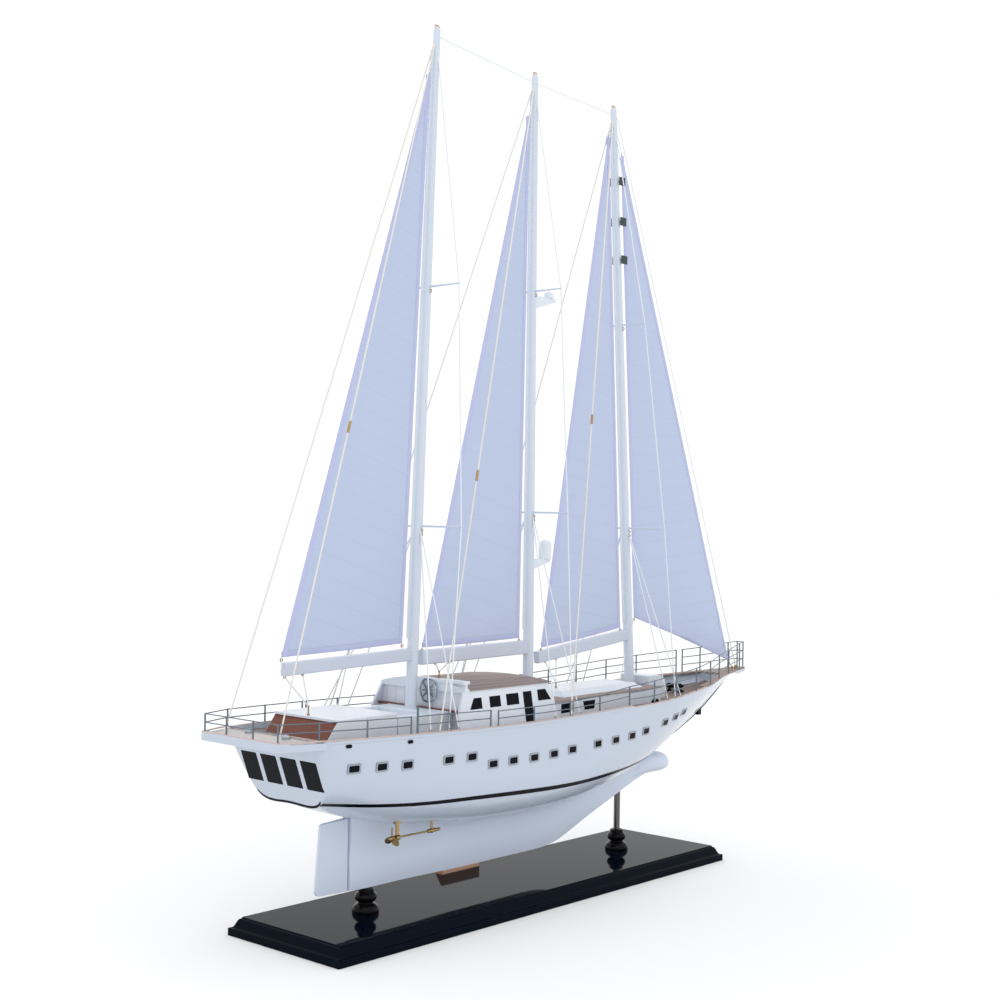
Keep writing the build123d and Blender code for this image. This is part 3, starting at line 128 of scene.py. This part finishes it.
def shader(name):
    """A new node material, its Principled shader and a function that adds linked nodes."""
    material = bpy.data.materials.new(name)
    material.use_nodes = True
    tree = material.node_tree
    surface = tree.nodes["Principled BSDF"]

    def add(kind, **settings):
        node = tree.nodes.new(kind)
        for key, value in settings.items():
            if key in node.inputs:
                socket = node.inputs[key]
                if isinstance(value, bpy.types.NodeSocket):
                    tree.links.new(value, socket)
                else:
                    socket.default_value = value
            else:
                setattr(node, key, value)
        return node

    return material, surface, tree, add


def rgb(colour, gain=1.0):
    """A colour as four numbers, brightened or darkened."""
    return (*[min(1, c * gain) for c in colour], 1)


def mottled(tree, add, surface, colour, position, scale, depth):
    """Base colour that wanders a little about its mean, larger patches with finer ones on them."""
    patches = add("ShaderNodeTexNoise", Vector=position, Scale=scale, Detail=5.0, Roughness=0.6)
    tint = add("ShaderNodeMix", data_type="RGBA", blend_type="MIX")
    tint.inputs[6].default_value = rgb(colour, 1 - depth)
    tint.inputs[7].default_value = rgb(colour, 1 + depth)
    tree.links.new(patches.outputs["Fac"], tint.inputs[0])
    tree.links.new(tint.outputs[2], surface.inputs["Base Color"])
    return tint


def aft_of(tree, add, position, x, aft_colour, fore_output):
    """One colour aft of x and another forward of it, with a narrow blend between them."""
    parts = add("ShaderNodeSeparateXYZ", Vector=position)
    forward = add("ShaderNodeMapRange", Value=parts.outputs[0])
    forward.inputs["From Min"].default_value = x - 0.0005
    forward.inputs["From Max"].default_value = x + 0.0005
    choice = add("ShaderNodeMix", data_type="RGBA", blend_type="MIX")
    tree.links.new(forward.outputs["Result"], choice.inputs[0])
    choice.inputs[6].default_value = rgb(aft_colour)
    tree.links.new(fore_output, choice.inputs[7])
    return choice.outputs[2]


def varied_roughness(tree, add, surface, position, low, high, scale):
    """Roughness between two values, in faint smears."""
    smears = add("ShaderNodeTexNoise", Vector=position, Scale=scale, Detail=3.0)
    spread = add("ShaderNodeMapRange", Value=smears.outputs["Fac"])
    spread.inputs["To Min"].default_value = low
    spread.inputs["To Max"].default_value = high
    tree.links.new(spread.outputs["Result"], surface.inputs["Roughness"])


def bump(tree, add, surface, height, strength, distance):
    """Raise the surface by a height output."""
    relief = add("ShaderNodeBump", Height=height, Strength=strength, Distance=distance)
    tree.links.new(relief.outputs["Normal"], surface.inputs["Normal"])


def paint(name, colour, roughness, speckle=0.03, coat=0.0, orange_peel=0.05, shine=0.5):
    """Sprayed paint: faint mottling, faint smears in its gloss and the dimples of the spray."""
    material, surface, tree, add = shader(name)
    position = add("ShaderNodeTexCoord").outputs["Object"]
    mottled(tree, add, surface, colour, position, 14.0, speckle)
    varied_roughness(tree, add, surface, position, roughness * 0.8, roughness * 1.25, 30.0)
    dimples = add("ShaderNodeTexNoise", Vector=position, Scale=900.0, Detail=2.0)
    bump(tree, add, surface, dimples.outputs["Fac"], orange_peel, 0.0004)
    surface.inputs["Specular IOR Level"].default_value = shine
    surface.inputs["Coat Weight"].default_value = coat
    surface.inputs["Coat Roughness"].default_value = 0.06
    return material


def metal(name, colour, roughness, scratch=0.15, patches=0.12, patch_scale=90.0, aft=None):
    """Polished metal with fine scratches and patchy tarnish, where a large patches depth paints dark and
    bright reflections instead; aft is (x, colour) for its after part.
    """
    material, surface, tree, add = shader(name)
    position = add("ShaderNodeTexCoord").outputs["Object"]
    tint = mottled(tree, add, surface, colour, position, patch_scale, patches)
    if aft:
        chosen = aft_of(tree, add, position, *aft, tint.outputs[2])
        tree.links.new(chosen, surface.inputs["Base Color"])
    varied_roughness(tree, add, surface, position, roughness * 0.7, roughness * 1.6, 160.0)
    grain = add("ShaderNodeTexNoise", Vector=position, Scale=2600.0, Detail=2.0)
    bump(tree, add, surface, grain.outputs["Fac"], scratch, 0.0002)
    surface.inputs["Metallic"].default_value = 1.0
    return material


def wood(name, colour, grain_axis, roughness, plank=None, contrast=0.25, aft=None):
    """Wood with grain along an axis and, where plank is given, seams that many metres apart."""
    material, surface, tree, add = shader(name)
    position = add("ShaderNodeTexCoord").outputs["Object"]
    stretch = [160.0, 160.0, 160.0]
    stretch[grain_axis] = 9.0
    drawn = add("ShaderNodeMapping", Vector=position, Scale=stretch)
    fibres = add("ShaderNodeTexNoise", Vector=drawn.outputs["Vector"], Scale=1.6, Detail=6.0,
                 Roughness=0.65, Distortion=0.4)
    tint = add("ShaderNodeMix", data_type="RGBA", blend_type="MIX")
    tint.inputs[6].default_value = rgb(colour, 1 - contrast)
    tint.inputs[7].default_value = rgb(colour, 1 + contrast)
    tree.links.new(fibres.outputs["Fac"], tint.inputs[0])
    final = tint.outputs[2]
    if plank:
        parts = add("ShaderNodeSeparateXYZ", Vector=position)
        across = parts.outputs[1 if grain_axis == 0 else 0]
        turns = add("ShaderNodeMath", operation="DIVIDE")
        tree.links.new(across, turns.inputs[0])
        turns.inputs[1].default_value = plank
        within = add("ShaderNodeMath", operation="FRACT")
        tree.links.new(turns.outputs[0], within.inputs[0])
        seam = add("ShaderNodeMath", operation="LESS_THAN")
        tree.links.new(within.outputs[0], seam.inputs[0])
        seam.inputs[1].default_value = CAULK_SHARE
        board = add("ShaderNodeMath", operation="FLOOR")
        tree.links.new(turns.outputs[0], board.inputs[0])
        shade = add("ShaderNodeTexWhiteNoise", noise_dimensions="1D")
        tree.links.new(board.outputs[0], shade.inputs["W"])
        boards = add("ShaderNodeMix", data_type="RGBA", blend_type="MULTIPLY")
        boards.inputs[0].default_value = 0.35
        tree.links.new(final, boards.inputs[6])
        tree.links.new(shade.outputs["Value"], boards.inputs[7])
        caulked = add("ShaderNodeMix", data_type="RGBA", blend_type="MIX")
        tree.links.new(seam.outputs[0], caulked.inputs[0])
        tree.links.new(boards.outputs[2], caulked.inputs[6])
        caulked.inputs[7].default_value = rgb(colour, CAULK_SHADE)
        final = caulked.outputs[2]
    if aft:
        final = aft_of(tree, add, position, *aft, final)
    tree.links.new(final, surface.inputs["Base Color"])
    varied_roughness(tree, add, surface, position, roughness * 0.8, roughness * 1.3, 60.0)
    bump(tree, add, surface, fibres.outputs["Fac"], 0.12, 0.0004)
    return material


def thread(name, colour):
    """Laid cord: a fine diagonal twist along its length."""
    material, surface, tree, add = shader(name)
    position = add("ShaderNodeTexCoord").outputs["Object"]
    mottled(tree, add, surface, colour, position, 120.0, 0.06)
    twist = add("ShaderNodeTexWave", Vector=position, Scale=420.0, bands_direction="DIAGONAL",
                Distortion=1.5)
    bump(tree, add, surface, twist.outputs["Fac"], 0.4, 0.0003)
    surface.inputs["Roughness"].default_value = 0.75
    return material


def sailcloth(name, colour, seam_run=None):
    """Tight plain weave with soft lines where its panels overlap, across the direction seam_run."""
    material, surface, tree, add = shader(name)
    position = add("ShaderNodeTexCoord").outputs["Object"]
    tint = mottled(tree, add, surface, colour, position, 7.0, 0.02)
    warp = add("ShaderNodeTexWave", Vector=position, Scale=620.0, bands_direction="X", Distortion=0.6)
    weft = add("ShaderNodeTexWave", Vector=position, Scale=620.0, bands_direction="Z", Distortion=0.6)
    weave = add("ShaderNodeMath", operation="MULTIPLY")
    tree.links.new(warp.outputs["Fac"], weave.inputs[0])
    tree.links.new(weft.outputs["Fac"], weave.inputs[1])
    height = weave.outputs[0]
    if seam_run:
        reach = add("ShaderNodeVectorMath", operation="DOT_PRODUCT")
        tree.links.new(position, reach.inputs[0])
        reach.inputs[1].default_value = seam_run
        panels = add("ShaderNodeMath", operation="DIVIDE")
        tree.links.new(reach.outputs["Value"], panels.inputs[0])
        panels.inputs[1].default_value = SAIL_PANEL
        within = add("ShaderNodeMath", operation="FRACT")
        tree.links.new(panels.outputs[0], within.inputs[0])
        overlap = add("ShaderNodeMath", operation="LESS_THAN")
        tree.links.new(within.outputs[0], overlap.inputs[0])
        overlap.inputs[1].default_value = OVERLAP_SHARE
        seamed = add("ShaderNodeMix", data_type="RGBA", blend_type="MIX")
        faint = add("ShaderNodeMath", operation="MULTIPLY")
        tree.links.new(overlap.outputs[0], faint.inputs[0])
        faint.inputs[1].default_value = OVERLAP_STRENGTH
        tree.links.new(faint.outputs[0], seamed.inputs[0])
        tree.links.new(tint.outputs[2], seamed.inputs[6])
        seamed.inputs[7].default_value = rgb(colour, 0.9)
        tree.links.new(seamed.outputs[2], surface.inputs["Base Color"])
        stack = add("ShaderNodeMath", operation="ADD")
        tree.links.new(height, stack.inputs[0])
        tree.links.new(overlap.outputs[0], stack.inputs[1])
        height = stack.outputs[0]
    bump(tree, add, surface, height, 0.12, 0.0003)
    surface.inputs["Roughness"].default_value = 0.85
    surface.inputs["Specular IOR Level"].default_value = 0.1
    return material


materials = {}


def make_materials():
    """Every finish on the ship and its stand."""
    materials.update(
        hull=paint("hull_lacquer", (0.505, 0.57, 0.67), 0.2, speckle=0.008, coat=0.25),
        # the keel and rudder take the hull's lavender made about a quarter brighter: painted light
        # standing in for light from below
        keel=paint("keel_lacquer_painted_light", (0.64, 0.71, 0.84), 0.35, speckle=0.004, orange_peel=0.0, shine=0.3),
        stripe=paint("stripe_black", (0.003, 0.004, 0.006), 0.25, shine=0.06),
        house=paint("house_lacquer", (0.70, 0.755, 0.835), 0.3, speckle=0.01, coat=0.1),
        spar=paint("spar_lacquer", (0.60, 0.665, 0.76), 0.3, speckle=0.01, coat=0.15),
        # flat grey strips of painted shade for the grooves between the wall's boards
        groove=paint("groove_painted_shade", (0.42, 0.46, 0.53), 0.5),
        boom=paint("boom_lacquer", (0.545, 0.595, 0.70), 0.35, speckle=0.015, coat=0.1),
        cap=wood("cap_lacquer", (0.54, 0.44, 0.42), 0, 0.4, contrast=0.12),
        # the faint blue in the base's black is a painted reflection of the pale surroundings in its
        # gloss
        base=paint("base_black", (0.002, 0.0045, 0.010), 0.04, orange_peel=0.01, shine=0.03),
        post=paint("post_black", (0.003, 0.003, 0.004), 0.06, orange_peel=0.01, shine=0.12),
        rod=metal("rod_chrome", (0.13, 0.125, 0.125), 0.08, 0.03),
        plaque=wood("plaque_wood", (0.50, 0.23, 0.13), 0, 0.4, contrast=0.15),
        plaque_top=wood("plaque_edge", (0.80, 0.46, 0.31), 0, 0.4, contrast=0.12),
        deck=wood("deck_veneer", (0.24, 0.155, 0.13), 0, 0.45, plank=0.0045,
                  aft=(-0.345, (0.52, 0.49, 0.49))),
        foredeck=wood("foredeck_veneer", (0.37, 0.27, 0.21), 0, 0.45, plank=0.0045, contrast=0.15),
        roof=wood("roof_veneer", (0.33, 0.25, 0.23), 0, 0.5, plank=0.004, contrast=0.15),
        mahogany=wood("mahogany", (0.15, 0.027, 0.007), 1, 0.4, contrast=0.4),
        glass=paint("dark_glass", (0.004, 0.005, 0.008), 0.15, shine=0.06),
        rail=metal("rail_steel", (0.15, 0.19, 0.23), 0.22),
        chrome=metal("frame_chrome", (0.34, 0.37, 0.42), 0.2),
        # the wheel's strong dark and bright patches are painted reflections of polished chrome
        wheel=metal("wheel_chrome_painted_glints", (0.42, 0.46, 0.50), 0.12, patches=0.9, patch_scale=230.0),
        brass=metal("fitting_brass", (0.40, 0.27, 0.12), 0.22),
        dark=metal("blackened_iron", (0.012, 0.012, 0.015), 0.3, aft=(-0.36, (0.45, 0.50, 0.55))),
        green=paint("lamp_green", (0.008, 0.03, 0.025), 0.3),
        red=paint("lamp_red", (0.10, 0.006, 0.012), 0.3),
        line=thread("line_pale", (0.77, 0.82, 0.86)),
        cream=thread("line_cream", (0.76, 0.75, 0.70)),
        hem=sailcloth("sail_hem", (0.485, 0.525, 0.755)),
    )


NODE_FINISH = {
    "hull": ["hull_shell", "stern_platform"],
    "keel": ["keel_fin", "rudder"],
    "house": ["aft_cabin", "cockpit_seats", "wheelhouse", "forward_trunk", "companion",
              "radar_scanner", "lower_radome"],
    "spar": ["mizzen_mast", "main_mast", "fore_mast", "spreaders"],
    "boom": ["mizzen_boom", "main_boom", "fore_boom"],
    "cap": ["cap_rail"],
    "base": ["base_board"],
    "post": ["stand_post_aft", "stand_post_fore"],
    "rod": ["support_rods"],
    "plaque": ["name_plaque"],
    "deck": ["main_deck"],
    "foredeck": ["foredeck"],
    "roof": ["wheelhouse_roof", "trunk_roof"],
    "mahogany": ["deck_trim"],
    "glass": ["transom_windows", "portlight_glass", "deckhouse_windows"],
    "rail": ["stern_rail", "side_rails_port", "side_rails_stbd", "bow_pulpit"],
    "chrome": ["portlight_frames", "rudder_stock"],
    "wheel": ["steering_wheel"],
    "brass": ["propeller_port", "propeller_stbd", "shaft_struts", "shaft_bearings", "rigging_eyes",
              "brass_fittings"],
    "dark": ["fairleads", "deck_fittings", "stem_band"],
    "green": ["starboard_lights"],
    "red": ["port_lights"],
    "line": ["shrouds", "stays", "sheets"],
    "cream": ["running_backstays"],
}


def finish_nodes():
    """Give every CAD node its finish."""
    for finish, names in NODE_FINISH.items():
        for name in names:
            node = nodes[name]
            node.data.materials.clear()
            node.data.materials.append(materials[finish])


# ---- hull stripe ---------------------------------------------------------------------------------

# the lengths in this part are in millimetres
# (x, z) of the foot and the head of the transom's middle line
TRANSOM_FOOT = (-340.5, 155)
TRANSOM_HEAD = (-371, 236)
# (x, z) points of the stripe's middle line
STRIPE_LINE = [(-343, 161), (-310, 157), (-265, 153), (-215, 150), (-130, 148), (-70, 145.5), (0, 143),
               (50, 143), (110, 145), (160, 146.5), (226, 150.5), (292, 152), (329, 154)]
# (x, half of its height) along the ship
STRIPE_HALF = [(-343, 1.8), (-250, 2.0), (-60, 2.6), (80, 2.4), (170, 1.7), (292, 1.1), (329, 0.6)]
# the stripe's points along the sides, and where it runs across the transom
STRIPE_START, STRIPE_STEP, STRIPE_COUNT = -341, 4, 169
TRANSOM_HALF_WIDTH = 51
TRANSOM_STRIPE_RISE = (0.1, 1.4, 2.7)
# how far it stands out of the hull
PROUD = 0.25
# beyond the side of the hull, where rays towards it start
OUTSIDE = 200


def line_height(points, x):
    """Height at x of the straight lines through points."""
    for (x0, z0), (x1, z1) in zip(points, points[1:]):
        if x <= x1:
            t = max(0, min(1, (x - x0) / (x1 - x0)))
            return z0 + (z1 - z0) * t
    return points[-1][1]


def smooth_height(points, x, reach=30, steps=7):
    """The same, averaged over a length so that it has no corners."""
    offsets = [reach * (2 * i / (steps - 1) - 1) for i in range(steps)]
    return sum(line_height(points, x + offset) for offset in offsets) / steps


def strip_mesh(name, rows, material):
    """A ribbon through rows of points, one row for each edge or line along it."""
    bm = bmesh.new()
    grid = [[bm.verts.new(p) for p in row] for row in rows]
    for row, next_row in zip(grid, grid[1:]):
        for i in range(len(row) - 1):
            bm.faces.new((row[i], row[i + 1], next_row[i + 1], next_row[i]))
    bmesh.ops.recalc_face_normals(bm, faces=bm.faces)
    ribbon = add_object(name, bm)
    for face in ribbon.data.polygons:
        face.use_smooth = True
    ribbon.data.materials.append(material)
    return ribbon


def thicken(piece, thickness):
    """Give a sheet a thickness, half of it on each side."""
    modifier = piece.modifiers.new("thickness", "SOLIDIFY")
    modifier.thickness = thickness
    modifier.offset = 0.0


def hull_tree():
    """The hull's surface, for finding points on it."""
    hull = nodes["hull_shell"]
    return BVHTree.FromPolygons([v.co for v in hull.data.vertices],
                                [list(face.vertices) for face in hull.data.polygons])


def side_hit(tree, x, z, side):
    """Where a level ray from outside meets one side of the hull, and the surface's normal there."""
    hit, normal, _, _ = tree.ray_cast(Vector((x, side * OUTSIDE, z)) * MM, Vector((0, -side, 0)))
    return hit, normal


def make_stripe():
    """The black waterline stripe along each side and across the foot of the transom."""
    tree = hull_tree()
    for side, name in ((-1, "stripe_stbd"), (1, "stripe_port")):
        rows = []
        for share in (-1, -0.5, 0, 0.5, 1):
            row = []
            for i in range(STRIPE_COUNT):
                x = STRIPE_START + i * STRIPE_STEP
                z = smooth_height(STRIPE_LINE, x) + share * line_height(STRIPE_HALF, x)
                hit, normal = side_hit(tree, x, z, side)
                if hit:
                    row.append(hit + normal * (PROUD * MM) * (1 if normal.y * side > 0 else -1))
            rows.append(row)
        length = min(len(row) for row in rows)
        piece = strip_mesh(name, [row[:length] for row in rows], materials["stripe"])
        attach(piece, "ship")
    rows = []
    for above in TRANSOM_STRIPE_RISE:
        row = []
        for i in range(51):
            y = TRANSOM_HALF_WIDTH * (i / 25 - 1)
            z = transom_foot(tree, y) + above
            row.append(Vector((transom_x(z) - PROUD, y, z)) * MM)
        rows.append(row)
    piece = strip_mesh("stripe_transom", rows, materials["stripe"])
    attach(piece, "ship")


def transom_x(z):
    """Where the raked transom's face is at height z, both in millimetres."""
    lean = (TRANSOM_HEAD[0] - TRANSOM_FOOT[0]) / (TRANSOM_HEAD[1] - TRANSOM_FOOT[1])
    return TRANSOM_FOOT[0] + (z - TRANSOM_FOOT[1]) * lean


def transom_foot(tree, y):
    """Height in millimetres of the transom's lower edge at y."""
    z = TRANSOM_FOOT[1] - 1
    while z < 200:
        hit, _, _, _ = tree.ray_cast(Vector((-500, y, z)) * MM, Vector((1, 0, 0)))
        if hit and abs(hit.x / MM - transom_x(z)) < 0.25:
            return z
        z += 0.2
    return z


# ---- small trim ----------------------------------------------------------------------------------

# how deep the moulding is and how far it stands out, in millimetres
STRAKE_DEPTH = 3.4
STRAKE_OUT = 0.45
# the painted groove shades: how many, the first's y, their spacing, their heights below the wheelhouse's
# top
GROOVE_COUNT, GROOVE_START, GROOVE_GAP = 9, -60, 15
GROOVE_DROPS = (0.034, 0.014)


def side_top(tree, x, side):
    """The height of the hull side's top edge at x."""
    z = 236.0
    while z > 215:
        hit, _ = side_hit(tree, x, z, side)
        if hit and abs(hit.y) > 0.04:
            return z
        z -= 0.1
    return z


def make_strakes():
    """A white moulding along the top of the hull's sides, from the stern platform to the step."""
    tree = hull_tree()
    for side, name in ((-1, "strake_stbd"), (1, "strake_port")):
        stations = [-362 + 4 * i for i in range(125)]
        tops = [side_top(tree, x, side) for x in stations]
        rows = []
        for drop, out in ((0.05, 0.0), (0.05, STRAKE_OUT), (STRAKE_DEPTH - 0.3, STRAKE_OUT),
                          (STRAKE_DEPTH, 0.0)):
            row = []
            for x, top in zip(stations, tops):
                hit, _ = side_hit(tree, x, top - drop, side)
                row.append(hit + Vector((0, side * out * MM, 0)))
            rows.append(row)
        piece = strip_mesh(name, rows, materials["hull"])
        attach(piece, "ship")


def make_wall_groove_shade():
    """Dark hairlines on the wheelhouse's aft wall, painted shade standing in for the grooves between its
    boards.
    """
    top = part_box("wheelhouse")[1][2]
    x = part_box("wheelhouse_roof")[0][0] - 0.0061
    for i in range(GROOVE_COUNT):
        y = (GROOVE_START + GROOVE_GAP * i) * MM
        rows = [[Vector((x, y + across * 0.0003, top - drop)) for across in (-1, 1)]
                for drop in GROOVE_DROPS]
        piece = strip_mesh(f"wall_groove_{i}", rows, materials["groove"])
        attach(piece, "ship")


def make_plaque_edge():
    """A paler band over the back and the top of the name plaque."""
    low, high = [Vector(corner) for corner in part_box("name_plaque")]
    back = low.y - 0.00015
    profile = [(back, low.z + 0.0002), (back, high.z + 0.00015), (low.y + 0.0025, high.z + 0.00015)]
    rows = [[Vector((x, y, z)) for x in (low.x, high.x)] for y, z in profile]
    piece = strip_mesh("plaque_edge", rows, materials["plaque_top"])
    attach(piece, "ship")


# ---- base board ----------------------------------------------------------------------------------

# the board's moulding in metres, each point an inset from its edge and a height: a square foot with a
# rounded edge, then an S-shaped rise, then a small lip under the flat top
FOOT_PROFILE = [(0.0, 0.0), (0.0, 0.0074), (0.0003, 0.0081), (0.0010, 0.0084)]
LIP_INSET = 0.0106
TOP_INSET = 0.0110
LIP_DROP = 0.0008
OGEE_STEPS = 14
OGEE_FOOT = (0.0018, 0.0084)
OGEE_RISE = (0.0086, 0.0098)


def ogee_profile(top):
    """The moulding from the underside to the top, as insets and heights."""
    profile = list(FOOT_PROFILE)
    for i in range(OGEE_STEPS + 1):
        t = i / OGEE_STEPS
        rise = t - math.sin(2 * math.pi * t) / (2 * math.pi)
        profile.append((OGEE_FOOT[0] + OGEE_RISE[0] * t, OGEE_FOOT[1] + OGEE_RISE[1] * rise))
    return profile + [(LIP_INSET, top - LIP_DROP), (TOP_INSET, top)]


def make_base():
    """The base board with an ogee moulding round its upper edge."""
    low, high = [Vector(corner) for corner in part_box("base_board")]
    bm = bmesh.new()
    rings = []
    for inset, height in ogee_profile(high.z - low.z):
        west, east, south, north = low.x + inset, high.x - inset, low.y + inset, high.y - inset
        rings.append([bm.verts.new((x, y, low.z + height))
                      for x, y in ((west, south), (east, south), (east, north), (west, north))])
    for ring, above in zip(rings, rings[1:]):
        for i in range(4):
            face = bm.faces.new((ring[i], ring[(i + 1) % 4], above[(i + 1) % 4], above[i]))
            face.smooth = True
    bm.faces.new(rings[-1])
    bm.faces.new(list(reversed(rings[0])))
    for edge in bm.edges:
        along_ring = abs(edge.verts[0].co.z - edge.verts[1].co.z) < 1e-7
        edge.smooth = along_ring and len([f for f in edge.link_faces if f.smooth]) == 2
    base = add_object("base_board_ogee", bm)
    base.data.materials.append(materials["base"])
    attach(base, "ship")
    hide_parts("base_board")


# ---- sails ---------------------------------------------------------------------------------------

SAIL_NAMES = ("mizzen_sail", "main_sail", "fore_sail", "jib")
SAIL_ROWS = 80
SAIL_COLUMNS = 24
# the share of the way from the foot to the head where the cloth stops, as a short top edge
SAIL_TIP = 0.994
# how deep a sail bellies, and how wide its hems are and how far they stand off its middle, in metres
BELLY = 0.0042
HEM = 0.0055
HEM_PROUD = 0.00045
HEM_STEPS = 120
SAIL_CLOTH = (0.49, 0.56, 0.73)
CLOTH_FRAMES = 14
CLOTH_THICKNESS = 0.0005
# how far from a corner its creases are deepest, how wide they spread and how many there are per radian
CREASE_REACH, CREASE_SPREAD, CREASE_RATE = 0.09, 0.11, 46
# their depth in the jib and in the other sails
JIB_CREASE, SAIL_CREASE = 0.00045, 0.0002


def sail_corners(name):
    """Clew, tack and head of a sail, read from its CAD triangle."""
    points = {(round(v.co.x, 5), round(v.co.z, 5)) for v in nodes[name].data.vertices}
    head = max(points, key=lambda p: p[1])
    clew, tack = sorted(points - {head})
    return [Vector((x, 0, z)) for x, z in (clew, tack, head)]


def sail_grid(name, clew, tack, head):
    """A flat triangle of cloth with its columns running from the foot to the head."""
    bm = bmesh.new()
    grid = []
    for row in range(SAIL_ROWS + 1):
        up = SAIL_TIP * row / SAIL_ROWS
        leech, luff = clew.lerp(head, up), tack.lerp(head, up)
        grid.append([bm.verts.new(leech.lerp(luff, i / SAIL_COLUMNS)) for i in range(SAIL_COLUMNS + 1)])
    for row, next_row in zip(grid, grid[1:]):
        for i in range(SAIL_COLUMNS):
            bm.faces.new((row[i], row[i + 1], next_row[i + 1], next_row[i]))
    sail = add_object(name + "_cloth", bm)
    for face in sail.data.polygons:
        face.use_smooth = True
    return sail


def fill_with_wind(sail):
    """Let a light pressure belly the cloth between its pinned luff and leech, then keep that shape."""
    row_size = SAIL_COLUMNS + 1
    edges = [v.index for v in sail.data.vertices
             if v.index % row_size in (0, SAIL_COLUMNS) or v.index > SAIL_ROWS * row_size]
    sail.vertex_groups.new(name="pins").add(edges, 1.0, "REPLACE")
    cloth = sail.modifiers.new("cloth", "CLOTH")
    cloth.settings.quality = 5
    cloth.settings.mass = 0.2
    cloth.settings.tension_stiffness = 40
    cloth.settings.compression_stiffness = 40
    cloth.settings.bending_stiffness = 2
    cloth.settings.vertex_group_mass = "pins"
    cloth.settings.use_pressure = True
    cloth.settings.uniform_pressure_force = 0.4
    cloth.settings.effector_weights.gravity = 0.1
    cloth.point_cache.frame_start = 1
    cloth.point_cache.frame_end = CLOTH_FRAMES
    for frame_number in range(1, CLOTH_FRAMES + 1):
        bpy.context.scene.frame_set(frame_number)
    shaped = sail.evaluated_get(bpy.context.evaluated_depsgraph_get()).data
    places = [v.co.copy() for v in shaped.vertices]
    sail.modifiers.clear()
    deepest = max(abs(p.y) for p in places) or 1
    for vertex, place in zip(sail.data.vertices, places):
        vertex.co.y = place.y * BELLY / deepest
    bpy.context.scene.frame_set(1)


def crease(sail, corners, depth):
    """Soft folds that fan out of the sail's corners and fade along it."""
    for vertex in sail.data.vertices:
        for corner in corners:
            out = vertex.co - corner
            distance = math.hypot(out.x, out.z)
            angle = math.atan2(out.z, out.x)
            fade = math.exp(-((distance - CREASE_REACH) / CREASE_SPREAD) ** 2)
            vertex.co.y += depth * fade * math.sin(angle * CREASE_RATE)


def hem_strip(sail, name, start, end, inward):
    """A folded band sewn round one edge of the sail."""
    tree = BVHTree.FromPolygons([v.co for v in sail.data.vertices],
                                [list(face.vertices) for face in sail.data.polygons])
    rows = []
    for inset, side in ((HEM, 1), (0.0002, 1), (-0.0004, 0), (0.0002, -1), (HEM, -1)):
        row = []
        for i in range(HEM_STEPS + 1):
            place = start.lerp(end, 0.003 + 0.985 * i / HEM_STEPS) + inward * inset
            nearest, _, _, _ = tree.find_nearest(place)
            row.append(Vector((place.x, nearest.y + side * HEM_PROUD, place.z)))
        rows.append(row)
    band = strip_mesh(name, rows, materials["hem"])
    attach(band, "ship")
    return band


def make_sails():
    """The four sails, bellied a little, with hems along their edges."""
    for name in SAIL_NAMES:
        clew, tack, head = sail_corners(name)
        sail = sail_grid(name, clew, tack, head)
        fill_with_wind(sail)
        crease(sail, (clew, tack), JIB_CREASE if name == "jib" else SAIL_CREASE)
        middle = (clew + tack + head) / 3
        for edge, start, end in (("foot", clew, tack), ("luff", tack, head), ("leech", clew, head)):
            run = (end - start).normalized()
            inward = run.cross(Vector((0, 1, 0)))
            if inward.dot(middle - start) < 0:
                inward = -inward
            hem_strip(sail, f"{name}_{edge}_hem", start, end, inward)
        leech_run = (head - clew).normalized()
        sail.data.materials.append(sailcloth(name + "_cloth", SAIL_CLOTH, tuple(leech_run)))
        thicken(sail, CLOTH_THICKNESS)
        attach(sail, "ship")
        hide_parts(name)


bpy.context.scene.view_settings.view_transform = "Standard"
make_camera()
make_studio()
make_materials()
finish_nodes()
make_stripe()
make_strakes()
make_wall_groove_shade()
make_plaque_edge()
make_base()
make_sails()
